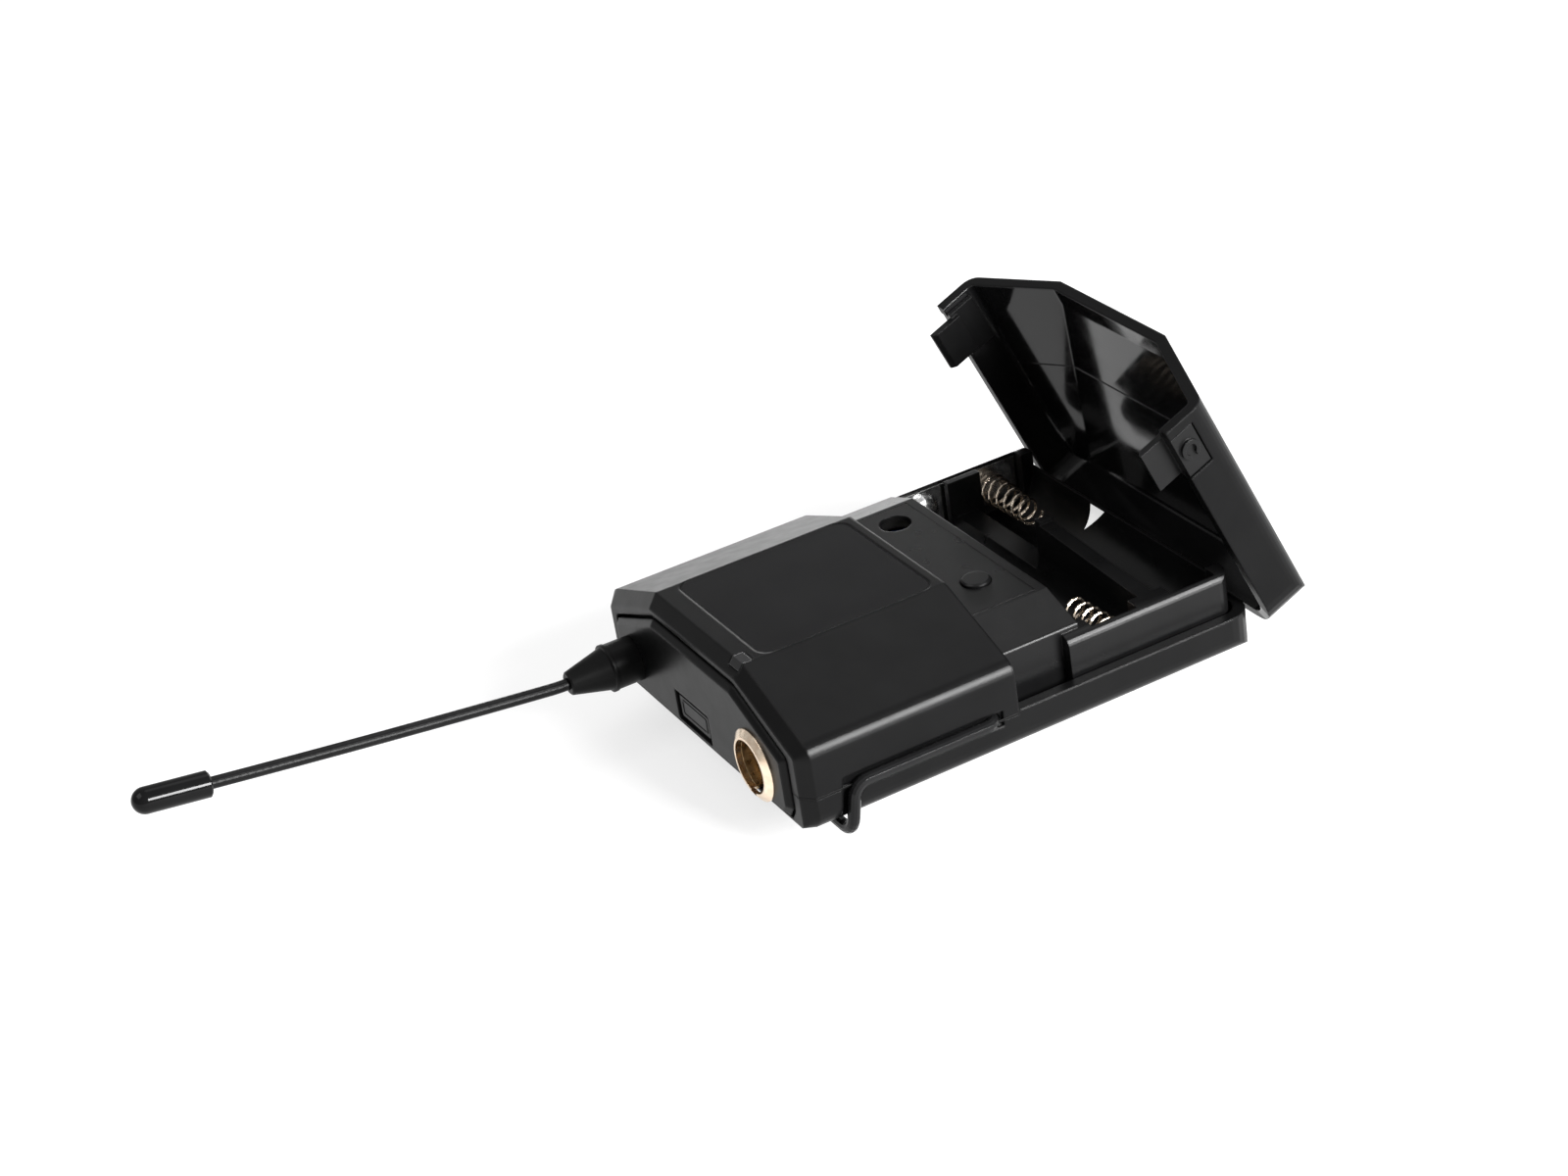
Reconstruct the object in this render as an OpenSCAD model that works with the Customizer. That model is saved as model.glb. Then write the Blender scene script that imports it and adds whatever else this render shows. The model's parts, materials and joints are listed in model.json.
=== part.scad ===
// Wireless bodypack transmitter with a hinged battery door, a whip antenna,
// a miniature three-pin microphone socket and a wire belt clip.
// Frame: X runs across the case, Y from the antenna end to the door end,
// Z out of the front face. The origin is the centre of the flat back face.

/* [Case] */
// Width of the case
body_w = 60; // [58:0.5:64]
// Length of the case without the end panel's proud face
body_l = 74.4; // [73:0.2:78]
// Height of the case from the back face to the crown
body_h = 19.2; // [18.6:0.2:21]
// Thickness of the case walls and floor
wall = 1.8; // [1.5:0.1:2]
// Width of the flat crown along the middle of the front
crown_w = 26.8; // [24:0.2:29]
// Height below the crown where the slope meets the side
shoulder_drop = 6.3; // [5.8:0.1:6.8]
// Rounding of the shoulder between slope and side
shoulder_r = 2.6; // [2:0.1:3]
// Rounding of the back edges and of the door's end edge
edge_r = 2.6; // [2:0.1:3]
// Rounding of the upright corners at the door end
corner_r = 4.5; // [3:0.1:4.6]
// Height of the joint between the front and rear shells
part_z = 5.4; // [5:0.1:5.6]
// Length of the bevel round the antenna end
end_bevel = 1.6; // [1:0.05:1.7]
// Inward width of the bevel round the antenna end
end_inset = 2; // [1.6:0.1:2.2]
// Distance from the antenna end to the step in the front
step_in = 34; // [33:0.5:35]

/* [Battery bay] */
// Diameter of the battery cells
cell_d = 10.5; // [10:0.1:10.6]
// Length of the battery cells
cell_l = 44.5; // [43:0.5:45]
// Play round each cell in its cradle
cell_play = 0.25; // [0.15:0.05:0.3]
// Thickness of the rib between the cells
rib_t = 2.4; // [2.2:0.1:2.5]
// Place of the rib's free end across the case
rib_end_x = -2; // [-6:0.5:4]
// Height of the rib's free end above the tub's side walls
rib_rise = 1.4; // [0.8:0.1:1.5]
// Distance from the first cell's cradle to the step
bay_in = 13.2; // [13:0.1:13.3]
// Thickness of the tub's floor under the cells
tub_floor = 1; // [0.8:0.1:1.4]
// Height of the tub's side walls and rib above the case floor
tub_h = 10.1; // [9.6:0.1:10.4]
// Height of the tub's end wall at the hinge above the case floor
tub_end_h = 7.8; // [6.6:0.1:9]
// Gap between the tub's side wall and the case or door wall
tub_gap = 0.6; // [0.4:0.05:0.8]
// Thickness of the tub's side walls beside the cells
tub_wall = 3.3; // [3:0.1:3.5]
// Wire of the cell springs
spring_wire = 0.5; // [0.4:0.05:0.7]
// Diameter of the cell springs at the plate
spring_base_d = 5.2; // [5:0.1:6.4]
// Diameter of the cell springs at the tip
spring_tip_d = 4.1; // [3.6:0.1:4.8]
// Free length of the cell springs
spring_l = 11.8; // [10.6:0.2:13]
// Number of turns of the cell springs
spring_turns = 6; // [5:0.5:7]
// Distance of the far spring's axis below its cell's axis
spring_low = 1.2; // [0:0.1:1.4]
// Height of the contacts' domes
dome_h = 1.9; // [1.4:0.1:2.2]
// Diameter of the contacts' domes
dome_d = 5; // [4:0.1:5.6]

/* [Deck] */
// Width of the flat part of the recessed deck
deck_w = 37; // [35:0.5:38]
// Depth of the deck below the crown
deck_drop = 3.9; // [3.6:0.1:4.2]
// Width of the deck block between its upright sides
deck_block_w = 51.6; // [50:0.2:52]
// Fall of the deck's slopes from the flat to the upright sides
deck_fall = 2.65; // [2.4:0.05:2.8]
// Thickness of the deck's walls
deck_wall = 1.4; // [1.2:0.1:1.6]
// Width of the control plate
plate_w = 35.4; // [34:0.2:36]
// Length of the control plate
plate_l = 11.6; // [11:0.1:11.8]
// Thickness of the control plate
plate_t = 0.8; // [0.6:0.1:1]
// Length of the notch beside the step
notch_l = 10.4; // [10:0.1:10.8]

/* [Door] */
// Angle at which the door stands open
door_open = 67; // [0:1:80]
// Thickness of the door's walls
door_wall = 1.7; // [1.5:0.1:1.8]
// Distance from the step to the hip where the door's top begins to fall
hip_in = 3.6; // [3:0.1:5]
// Height of the door's top at the hinge end
hip_end_z = 14.3; // [14.1:0.1:15.5]
// Rounding of the edge between the door's top and its end
hip_end_r = 2.2; // [1.8:0.1:2.6]
// Gap between the door and the case round its edge
door_gap = 0.2; // [0.15:0.05:0.3]
// Height of the ledge that the door closes on
ledge_z = 5.9; // [5.7:0.1:6.1]
// Distance of the hinge line from the door end
hinge_in = 2; // [1.9:0.05:2.1]
// Height of the hinge line above the back face
hinge_z = 1.35; // [1.3:0.05:1.4]
// Diameter of the hinge barrel
barrel_d = 2.4; // [2.2:0.1:2.5]
// Width of the hinge leaf
leaf_w = 28; // [24:1:32]
// Diameter of the hinge pins
pin_d = 1.2; // [1:0.1:1.3]
// Radial play of the hinge pins in the leaf
pin_play = 0.05; // [0.03:0.01:0.08]
// Length of the thumb latches along the case
latch_l = 7; // [6.4:0.1:7.2]
// Height of the latches' outer plate
latch_h = 4; // [3.6:0.1:4.4]
// Travel of the thumb latches
latch_travel = 0.8; // [0.5:0.1:0.9]

/* [End panel] */
// Distance that the end panel stands proud of the case
panel_proud = 0.75; // [0.6:0.05:0.9]
// Thickness of the end panel
panel_t = 2.5; // [2.2:0.1:2.8]
// Gap round the end panel
panel_gap = 0.6; // [0.5:0.05:0.7]
// Width of the end panel
panel_w = 51.4; // [50:0.2:52]
// Height of the end panel's top edge above the back face
panel_top = 15.9; // [15.4:0.1:16.4]
// Width of the end panel's top edge
panel_crown_w = 24.4; // [23:0.2:26]
// Height of the end panel's side corners above the back face
panel_side_z = 10.4; // [10:0.1:10.8]
// Distance of the socket's axis from the end panel's side
socket_in = 8.6; // [8.2:0.1:9.2]
// Height of the socket's axis above the back face
socket_z = 5.75; // [5.7:0.05:6]
// Inner diameter of the socket
socket_bore_d = 8; // [7.6:0.1:8.2]
// Outer diameter of the socket's ring
socket_ring_d = 10.8; // [10.2:0.1:10.9]
// Distance that the socket's ring stands proud of the panel
socket_proud = 0.95; // [0.7:0.05:1.2]
// Width of the power button
power_w = 8.8; // [8:0.1:9.4]
// Height of the power button
power_h = 3.5; // [3:0.1:3.8]
// Distance of the power button from the middle
power_x = -1.9; // [-3:0.1:-1]

/* [Antenna] */
// Distance of the antenna's axis from the end panel's side
antenna_in = 5.2; // [5:0.1:6.2]
// Height of the antenna's axis above the back face
antenna_z = 6.1; // [5.9:0.1:6.6]
// Diameter of the rubber boot
boot_d = 7; // [6.4:0.1:7.4]
// Length of the boot's cylindrical part
boot_l = 4.6; // [4:0.1:5.2]
// Length of the boot's taper
taper_l = 6.3; // [5.8:0.1:7]
// Diameter of the boot at the end of the taper
taper_d = 3.4; // [3.2:0.1:3.8]
// Diameter of the whip
whip_d = 1.8; // [1.6:0.1:2]
// Length of the whip between boot and tip cap
whip_l = 54.4; // [45:0.2:60]
// Lean of the whip above the boot's axis
whip_lean = 6.3; // [4:0.1:8]
// Diameter of the tip cap
tip_d = 3.9; // [3.4:0.1:4.2]
// Length of the tip cap
tip_l = 11.2; // [10:0.2:14]

/* [Controls] */
// Distance of the gain control from the middle
gain_x = -13.3; // [-14:0.1:-12]
// Distance of the gain control from the step
gain_in = 7.1; // [6.6:0.1:7.4]
// Diameter of the gain control's access hole
gain_hole_d = 4.9; // [4.6:0.1:5]
// Distance of the set button from the middle
set_x = 9.9; // [8.5:0.1:10.5]
// Distance of the set button from the step
set_in = 6.75; // [6.4:0.05:7.2]
// Diameter of the set button
set_d = 4.3; // [3.8:0.1:4.4]
// Distance that the set button stands proud
set_proud = 0.55; // [0.4:0.05:0.8]

/* [Belt clip] */
// Diameter of the clip's wire
clip_d = 1.8; // [1.6:0.1:1.9]
// Depth of the belt space under the back face
clip_gap = 4.5; // [4.4:0.1:6]
// Distance between the clip's arms
clip_w = 31; // [28:1:34]

/* [Hidden] */
// Fineness of round parts
$fn = 48;

// Smallest overlap or cut past a face
eps = 0.01;

// Colours
case_black = [0.13, 0.13, 0.135];
trim_black = [0.09, 0.09, 0.095];
rubber_black = [0.07, 0.07, 0.07];
plated_gold = [0.85, 0.74, 0.58];
spring_brass = [0.76, 0.62, 0.42];
nickel = [0.76, 0.76, 0.74];
board_green = [0.07, 0.3, 0.16];

// Case
hw = body_w / 2;
y_front = -body_l / 2;
y_back = body_l / 2;
step_y = y_front + step_in;
shoulder_z = body_h - shoulder_drop;
crown_x = crown_w / 2;
end_wall = panel_t - panel_proud;

// Deck and battery bay
deck_z = body_h - deck_drop;
deck_x = deck_w / 2;
block_x = deck_block_w / 2;
block_z = deck_z - deck_fall;
cradle_r = cell_d / 2 + cell_play;
cell_z = wall + tub_floor + cradle_r;
cell1_y = step_y + bay_in + cradle_r;
cell2_y = cell1_y + 2 * cradle_r + rib_t;
tub_x = hw - wall - tub_gap;
tub_top = wall + tub_h;
bay_x = tub_x - tub_wall;
notch_y = step_y + notch_l;
contact_t = 0.4;
pocket_x = tub_x - 1;
pocket_w = 7.6;
spring2_y = cell2_y - 0.8;

// Door
hinge_y = y_back - hinge_in;
door_y0 = step_y + door_gap;
door_z0 = ledge_z + 0.15;
swing_r = norm([y_back - door_wall - hinge_y, door_z0 - hinge_z]) - 0.1;
leaf_t = 1.2;
slot_gap = 0.4;
slot_y = hinge_y - barrel_d / 2 - slot_gap;
slot_x = leaf_w / 2 + 0.5;
pin_l = 4;
latch_y = step_y + 1.9;
latch_play = 0.15;
latch_recess = 0.2;
hook_l = 4;
hook_t = 1.2;
bump_r = 1.5;
bump_h = 0.5;

// End panel
antenna_x = antenna_in - panel_w / 2;
socket_x = panel_w / 2 - socket_in;
panel_y = y_front - panel_proud;
panel_back = panel_y + panel_t;
panel_edge_y = panel_y + 0.7;
panel_z0 = 0.9;
panel_sill = 0.65;
panel_bevel = 0.9;
barrel_r = socket_bore_d / 2 + 0.4;
socket_l = 10.5;
mouth_l = 2;
throat_r = socket_bore_d / 2 - 0.3;
pins_in = 2.2;
frame_w = power_w + 1.6;
frame_h = power_h + 1.4;
power_z = 4.5;
power_travel = 0.4;

// Board stack
board_z = 7.2;
board_t = 1;
board_top = board_z + board_t;
board_x = 23;
board_y0 = panel_back + 1.2;
board_y1 = step_y + 11.6;
can_w = 20;
can_l = 16;
can_h = 2.6;
chip_x = 8;
chip_w = 7;
chip_h = 1;
coil_w = 5;
coil_l = 4;
coil_h = 1.6;
can_d = 4;
switch_h = 3.4;
set_y = step_y + set_in;
gain_y = step_y + gain_in;
trimmer_h = 4.4;
set_travel = 0.5;
window_x = crown_x - 1.6;
window_y = y_front + 2;
window_w = 2.7;
window_l = 2.3;

// Label plate
label_w = 26.6;
label_y0 = y_front + 4.75;
label_y1 = step_y - 1.5;
label_t = 0.35;
label_r = 2.4;

// Screws that hold the shells together
screw_x = 24.8;
screw_ys = [y_front + 6.6, step_y - 9];
screw_d = 2;
screw_head_d = 3.8;
screw_head_h = 1;
screw_sink = 0.3;
screw_l = 7.2;
screw_cross_w = 0.5;
screw_cross_l = 2.4;
boss_d = 5;

// Antenna
boot_bore_gap = 0.05;
stem_d = 5.4;
bend_r = 25;
whip_y = panel_y - boot_l - taper_l;
whip_in = 10;
tip_bend = 1.4;
sweep_r = (whip_l - bend_r * whip_lean * PI / 180) / (tip_bend * PI / 180);

// Belt clip
clip_r = clip_d / 2;
clip_x = hw + 0.5;
clip_z = 5.7;
clip_hole_y = step_y - 3.85;
clip_bend_y = y_front + 7.4;
clip_low = -clip_gap - clip_r;
clip_run_y = clip_bend_y - 1.4;
clip_run_z = -clip_r - 0.7;
clip_split_x = 24;
loop_end_y = 22;
groove_x = clip_x - clip_r - 0.2;
clip_sides = 12;

// ---------------------------------------------------------------- helpers

// Corner of an outline as a plain point; the index wraps round
function at(p, i) = [p[(i + len(p)) % len(p)][0], p[(i + len(p)) % len(p)][1]];
function unit(v) = v / norm(v);
// Half the inner angle at corner i
function half_angle(p, i) =
    acos(unit(at(p, i - 1) - at(p, i)) * unit(at(p, i + 1) - at(p, i))) / 2;
// Direction from corner i to the inside of a convex outline
function inward(p, i) =
    unit(unit(at(p, i - 1) - at(p, i)) + unit(at(p, i + 1) - at(p, i)));
// Moves every side of a convex outline [[x, y, r], ...] inwards by t
function inset(p, t) = [
    for (i = [0 : len(p) - 1])
        let (c = at(p, i) + inward(p, i) * t / sin(half_angle(p, i)))
            [c[0], c[1], max(p[i][2] - t, 0)]
];
// Points of a convex outline [[x, y, r], ...] with its corners rounded by r
function rounded(p) = [
    for (i = [0 : len(p) - 1])
        let (
            r = p[i][2],
            h = half_angle(p, i),
            c = at(p, i),
            m = c + inward(p, i) * r / sin(h),
            a = unit(c + unit(at(p, i - 1) - c) * r / tan(h) - m),
            b = unit(c + unit(at(p, i + 1) - c) * r / tan(h) - m),
            turn = 180 - 2 * h,
            n = max(2, ceil(turn / 15))
        )
            each r == 0
                ? [c]
                : [for (k = [0 : n]) m + r * (sin(turn * (n - k) / n) * a
                                            + sin(turn * k / n) * b) / sin(turn)]
];
// Rectangle centred on zero, as an outline
function plate(w, h, r) =
    [[w / 2, -h / 2, r], [w / 2, h / 2, r], [-w / 2, h / 2, r], [-w / 2, -h / 2, r]];

// Box between two corners
module box(lo, hi) {
    translate(lo) cube(hi - lo);
}
// Outline in X and Z, extruded along Y
module along_y(p, y0, y1) {
    translate([0, y1, 0]) rotate([90, 0, 0]) linear_extrude(y1 - y0) polygon(p);
}
// Outline in Y and Z, extruded along X
module along_x(p, x0, x1) {
    translate([x0, 0, 0]) rotate([90, 0, 90]) linear_extrude(x1 - x0) polygon(p);
}
// Outline in X and Y, extruded along Z
module along_z(p, z0, z1) {
    translate([0, 0, z0]) linear_extrude(z1 - z0) polygon(p);
}
// Cylinder from a point towards -Y
module rod_y(x, y, z, r, l) {
    translate([x, y, z]) rotate([90, 0, 0]) cylinder(r = r, h = l);
}
// Cylinder along X between two places
module rod_x(x0, x1, y, z, r) {
    translate([x0, y, z]) rotate([0, 90, 0]) cylinder(r = r, h = x1 - x0);
}
// Turned part on an axis towards -Y: the profile is [radius, distance] pairs
module turned_y(x, y, z, profile) {
    translate([x, y, z]) rotate([90, 0, 0]) rotate_extrude() polygon(profile);
}
// The same child on both sides
module both_sides() {
    children();
    mirror([1, 0, 0]) children();
}
// Turns a part of the closed door to where the door stands
module at_door() {
    translate([0, hinge_y, hinge_z])
        rotate([-door_open, 0, 0])
            translate([0, -hinge_y, -hinge_z]) children();
}
// Direction of a route at its point k
function heading(p, k) = unit(p[min(k + 1, len(p) - 1)] - p[max(k - 1, 0)]);
// Ring of n points round a route at its point k, with its first point towards s
function ring(p, k, s, r, n) =
    let (t = heading(p, k), a = unit(s - (s * t) * t), b = cross(t, a))
        [for (j = [0 : n - 1]) p[k] + r * (cos(360 * j / n) * a + sin(360 * j / n) * b)];
// Closed skin over stacked rings of n points
module skin(rings, n) {
    m = len(rings);
    polyhedron(
        points = [for (g = rings) each g],
        faces = concat(
            [[for (j = [n - 1 : -1 : 0]) j]],
            [[for (j = [0 : n - 1]) (m - 1) * n + j]],
            [for (k = [0 : m - 2], j = [0 : n - 1])
                [k * n + j, k * n + (j + 1) % n, (k + 1) * n + (j + 1) % n]],
            [for (k = [0 : m - 2], j = [0 : n - 1])
                [k * n + j, (k + 1) * n + (j + 1) % n, (k + 1) * n + j]]
        ),
        convexity = 6
    );
}

// --------------------------------------------------------------- the case

// Outline of the case across X and Z
section = [
    [hw, 0, edge_r], [hw, shoulder_z, shoulder_r], [crown_x, body_h, 0.8],
    [-crown_x, body_h, 0.8], [-hw, shoulder_z, shoulder_r], [-hw, 0, edge_r]
];
// Outlines from above and from the side, rounded at the door end only; they
// run on past the antenna end, so that their inset moves the other sides only
far_y = y_front - 30;
plan = [[hw, far_y, 0], [hw, y_back, corner_r], [-hw, y_back, corner_r], [-hw, far_y, 0]];
profile = [
    [far_y, 0, 0], [y_back, 0, edge_r], [y_back, hip_end_z, hip_end_r],
    [step_y + hip_in, body_h, 0.8], [far_y, body_h, 0]
];
// Rim of the bevelled antenna end; it keeps the back face almost to the end
end_rim = [for (c = inset(section, end_inset)) [c[0], c[1] < part_z ? 0.25 : c[1], c[2]]];

// Outline of the end panel
panel_outline = [
    [panel_w / 2 - 1.1, panel_z0, 0.3], [panel_w / 2, panel_z0 + 1.6, 0.6],
    [panel_w / 2, panel_side_z, 0.6], [panel_crown_w / 2, panel_top, 0.4],
    [-panel_crown_w / 2, panel_top, 0.4], [-panel_w / 2, panel_side_z, 0.6],
    [-panel_w / 2, panel_z0 + 1.6, 0.6], [-panel_w / 2 + 1.1, panel_z0, 0.3]
];

// Outline of the deck block across X and Z
deck_outline = [
    [block_x, wall, 0], [block_x, block_z, 0.5], [deck_x, deck_z, 0.5],
    [-deck_x, deck_z, 0.5], [-block_x, block_z, 0.5], [-block_x, wall, 0]
];

// Outline of the tub across X and Z
tub_outline = [
    [tub_x, wall, 0.8], [tub_x, tub_top, 1.6], [-tub_x, tub_top, 1.6], [-tub_x, wall, 0.8]
];
// Hollow under the deck across X and Z
hollow_top = deck_z - plate_t - deck_wall;
hollow_outline = [
    [block_x - deck_wall, wall - 1], [block_x - deck_wall, block_z - deck_wall / 2],
    [deck_x - 0.3, hollow_top], [-deck_x + 0.3, hollow_top],
    [-block_x + deck_wall, block_z - deck_wall / 2], [-block_x + deck_wall, wall - 1]
];
// Side of the rib between the cells across X and Z, with a post at its free end
rib_side = [
    [bay_x + 1, wall], [bay_x + 1, tub_top - 0.2], [rib_end_x + 1.3, tub_top + rib_rise],
    [rib_end_x + 1.3, tub_top + rib_rise + 0.6], [rib_end_x, tub_top + rib_rise + 0.6],
    [rib_end_x, wall]
];

// Whole outer form between two stations, inset by t
module case_form(t, y0, y1) {
    intersection() {
        along_y(rounded(inset(section, t)), y0, y1);
        along_z(rounded(inset(plan, t)), -1, body_h + 1);
        along_x(rounded(inset(profile, t)), -hw - 1, hw + 1);
    }
}
// Bevelled antenna end of the outer form
module case_nose() {
    hull() {
        along_y(rounded(section), y_front + end_bevel, y_front + end_bevel + eps);
        along_y(rounded(end_rim), y_front, y_front + eps);
    }
}
// Opening for the end panel, and the room for its flange
module panel_opening() {
    intersection() {
        along_y(rounded(inset(panel_outline, -panel_gap)), y_front - 1, panel_back + eps);
        box([-hw, y_front - 1, panel_sill], [hw, 0, body_h]);
    }
}
module panel_flange(t) {
    intersection() {
        along_y(
            rounded(inset(panel_outline, -panel_gap - 0.7 - t)),
            panel_back, panel_back + 1 + t
        );
        box([-hw, y_front, wall + 0.05], [hw, 0, body_h]);
    }
}
// Groove in the case side for the clip's wire, and its pivot hole
module clip_groove() {
    both_sides() {
        along_x(
            [
                [clip_hole_y + clip_r + 0.4, clip_z + clip_r + 0.3],
                [clip_hole_y + clip_r + 0.4, clip_z - clip_r - 0.3],
                [clip_bend_y + clip_r + 1, clip_z - clip_r - 0.3],
                [clip_bend_y + clip_r - 0.2, clip_z - clip_r - 1.6],
                [clip_run_y + clip_r + 0.4, -1],
                [clip_run_y - clip_r - 0.3, -1],
                [clip_bend_y - clip_r - 0.5, clip_z + clip_r + 0.3]
            ],
            groove_x, hw + 1
        );
        rod_x(clip_x - 5, hw, clip_hole_y, clip_z, clip_r + 0.06);
    }
}
// Posts that the screws go into, between two heights
module bosses(d, z0, z1) {
    for (y = screw_ys, s = [-1, 1])
        translate([s * screw_x, y, z0]) cylinder(d = d, h = z1 - z0);
}

module rear_shell() {
    color(case_black) difference() {
        union() {
            difference() {
                union() {
                    intersection() {
                        union() {
                            case_form(0, y_front + end_bevel, step_y + eps);
                            case_nose();
                        }
                        box([-hw, y_front - 1, -1], [hw, step_y + 1, part_z]);
                    }
                    intersection() {
                        case_form(0, step_y, y_back + 1);
                        box([-hw, step_y, -1], [hw, y_back + 1, ledge_z]);
                    }
                }
                case_form(wall, panel_back, y_back);
                panel_opening();
            }
            bosses(boss_d, wall - eps, part_z);
            // Posts under the board
            for (x = [-10, 12], y = [board_y0 + 9, board_y1 - 4])
                translate([x, y, wall - eps]) cylinder(d = 3, h = board_z - wall + eps);
            // Seats of the hinge pins
            both_sides()
                box([slot_x, slot_y - 0.6, wall - 0.6], [slot_x + 3, y_back - 1, hinge_z + 1.5]);
            // Lip that lines the joint with the front shell
            both_sides() {
                box([hw - wall - 0.8, panel_back + 2, wall - eps],
                    [hw - wall - 0.05, clip_hole_y - 3, part_z + 0.9]);
                box([hw - wall - 0.8, panel_back + 2, wall - eps],
                    [hw - wall + eps, clip_hole_y - 3, part_z - 0.4]);
            }
        }
        // Slot for the hinge leaf
        box([-slot_x, slot_y, -1], [slot_x, y_back + 1, ledge_z + 1]);
        // Relief of the end wall's top, where the door's lower edge swings past
        difference() {
            box([-hw - 1, hinge_y, 4], [hw + 1, y_back + 1, ledge_z + 1]);
            rod_x(-hw - 2, hw + 2, hinge_y, hinge_z, swing_r);
        }
        rod_x(-slot_x - pin_l, slot_x + pin_l, hinge_y, hinge_z, pin_d / 2);
        // Screw holes with counterbores
        bosses(screw_d + 0.3, -1, part_z + 1);
        bosses(screw_head_d + 0.4, -1, screw_sink + screw_head_h + 0.05);
        clip_groove();
        // Room for the socket's barrel
        rod_y(socket_x, panel_back + socket_l, socket_z, barrel_r + 0.25, socket_l + 1);
    }
}

module front_shell() {
    color(case_black) difference() {
        union() {
            difference() {
                intersection() {
                    union() {
                        case_form(0, y_front + end_bevel, step_y);
                        case_nose();
                    }
                    box([-hw - 1, y_front - 1, part_z], [hw + 1, step_y, body_h + 1]);
                }
                case_form(wall, panel_back, step_y - deck_wall);
                panel_opening();
                panel_flange(0.1);
                along_y(rounded(inset(deck_outline, -0.15)), step_y - 3.2, step_y + 1);
            }
            // Screw posts from the roof down to the rear shell's bosses
            intersection() {
                bosses(boss_d, part_z + 0.05, body_h);
                case_form(wall / 2, panel_back, step_y);
            }
        }
        bosses(screw_d - 0.3, part_z - 1, part_z + 7);
        translate([0, (label_y0 + label_y1) / 2, 0])
            along_z(
                rounded(plate(label_w + 0.2, label_y1 - label_y0 + 0.2, label_r)),
                body_h - label_t, body_h + 1
            );
        box([window_x - window_w / 2 - 0.1, window_y - window_l / 2 - 0.1, body_h - 4],
            [window_x + window_w / 2 + 0.1, window_y + window_l / 2 + 0.1, body_h + 1]);
        clip_groove();
    }
}

module label_plate() {
    color(trim_black)
        translate([0, (label_y0 + label_y1) / 2, 0])
            along_z(
                rounded(plate(label_w, label_y1 - label_y0, label_r)),
                body_h - label_t, body_h - 0.05
            );
}

module status_window() {
    color([0.25, 0.26, 0.27]) difference() {
        union() {
            box([window_x - window_w / 2, window_y - window_l / 2, body_h - wall + 0.1],
                [window_x + window_w / 2, window_y + window_l / 2, body_h]);
            box([window_x - 0.8, panel_back + 0.3, board_top + 1.2],
                [window_x + 0.8, window_y + window_l / 2, body_h - wall + 0.2]);
        }
        // Front edge follows the end's bevel
        translate([0, y_front + end_bevel, body_h])
            rotate([atan2(end_inset, end_bevel), 0, 0])
                box([0, -6, 0], [hw, 0, 4]);
    }
}

module status_led() {
    color([0.85, 0.85, 0.8])
        box([window_x - 0.8, panel_back + 1.4, board_top],
            [window_x + 0.8, panel_back + 2.4, board_top + 0.8]);
}

// -------------------------------------------------------------- end panel

module end_panel() {
    color(case_black) difference() {
        union() {
            hull() {
                along_y(rounded(inset(panel_outline, panel_bevel)), panel_y, panel_y + eps);
                along_y(rounded(panel_outline), panel_edge_y, panel_edge_y + eps);
            }
            along_y(rounded(panel_outline), panel_edge_y, panel_back);
            // Rim behind the shells' end walls, open for the light pipe
            difference() {
                panel_flange(0);
                along_y(rounded(inset(panel_outline, 1.4)), panel_back - 1, panel_back + 2);
                box([window_x - 1.3, panel_back - 1, panel_top - 3],
                    [window_x + 1.3, panel_back + 2, body_h]);
            }
        }
        rod_y(socket_x, panel_back + 2, socket_z, barrel_r + 0.05, panel_t + 4);
        rod_y(antenna_x, panel_back + 2, antenna_z, stem_d / 2 + 0.05, panel_t + 4);
        // Sunk frame and opening of the power button
        translate([power_x, 0, power_z]) {
            along_y(rounded(plate(frame_w, frame_h, 0.4)), panel_y - 1, panel_y + 0.7);
            along_y(rounded(plate(power_w + 0.3, power_h + 0.3, 0.3)), panel_y, panel_back + 2);
        }
    }
}

module power_button() {
    color(trim_black) translate([power_x, 0, power_z]) {
        along_y(rounded(plate(power_w, power_h, 0.3)), panel_y + 0.25, panel_back + 1.2);
        // Shoulder that keeps the button behind the panel
        along_y(
            rounded(plate(power_w + 1.6, power_h + 0.8, 0.3)),
            panel_back + 1.2, panel_back + 1.8
        );
    }
}

module power_switch() {
    y = panel_back + 1.8 + power_travel + 0.1;
    color([0.2, 0.2, 0.2]) {
        rod_y(power_x, y + 1, power_z, 0.9, 1);
        box([power_x - 3, y + 0.9, board_z - 5], [power_x + 3, y + 4.1, board_z]);
    }
}

module socket_ring() {
    r0 = socket_bore_d / 2;
    r1 = socket_ring_d / 2;
    color(plated_gold) difference() {
        turned_y(socket_x, panel_y, socket_z, [
            [r0, 0], [r1, 0], [r1, 0.25], [r0 + 0.35, socket_proud], [r0, socket_proud]
        ]);
        socket_key();
    }
}

// Keyway in the bottom of the socket
module socket_key() {
    box([socket_x - 0.8, panel_y - 2, socket_z - socket_bore_d / 2 - 0.6],
        [socket_x + 0.8, panel_y + 4, socket_z - socket_bore_d / 2 + 1]);
}

module socket_barrel() {
    color(plated_gold) difference() {
        rod_y(socket_x, panel_y + socket_l, socket_z, barrel_r, socket_l);
        rod_y(socket_x, panel_y + mouth_l, socket_z, socket_bore_d / 2, mouth_l + 1);
        rod_y(socket_x, panel_y + socket_l + 1, socket_z, throat_r, socket_l + 2);
        socket_key();
    }
}

module socket_insulator() {
    color([0.08, 0.07, 0.06]) difference() {
        rod_y(socket_x, panel_y + socket_l, socket_z, throat_r, socket_l - 6.5);
        socket_pin_set(0);
    }
}

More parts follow.
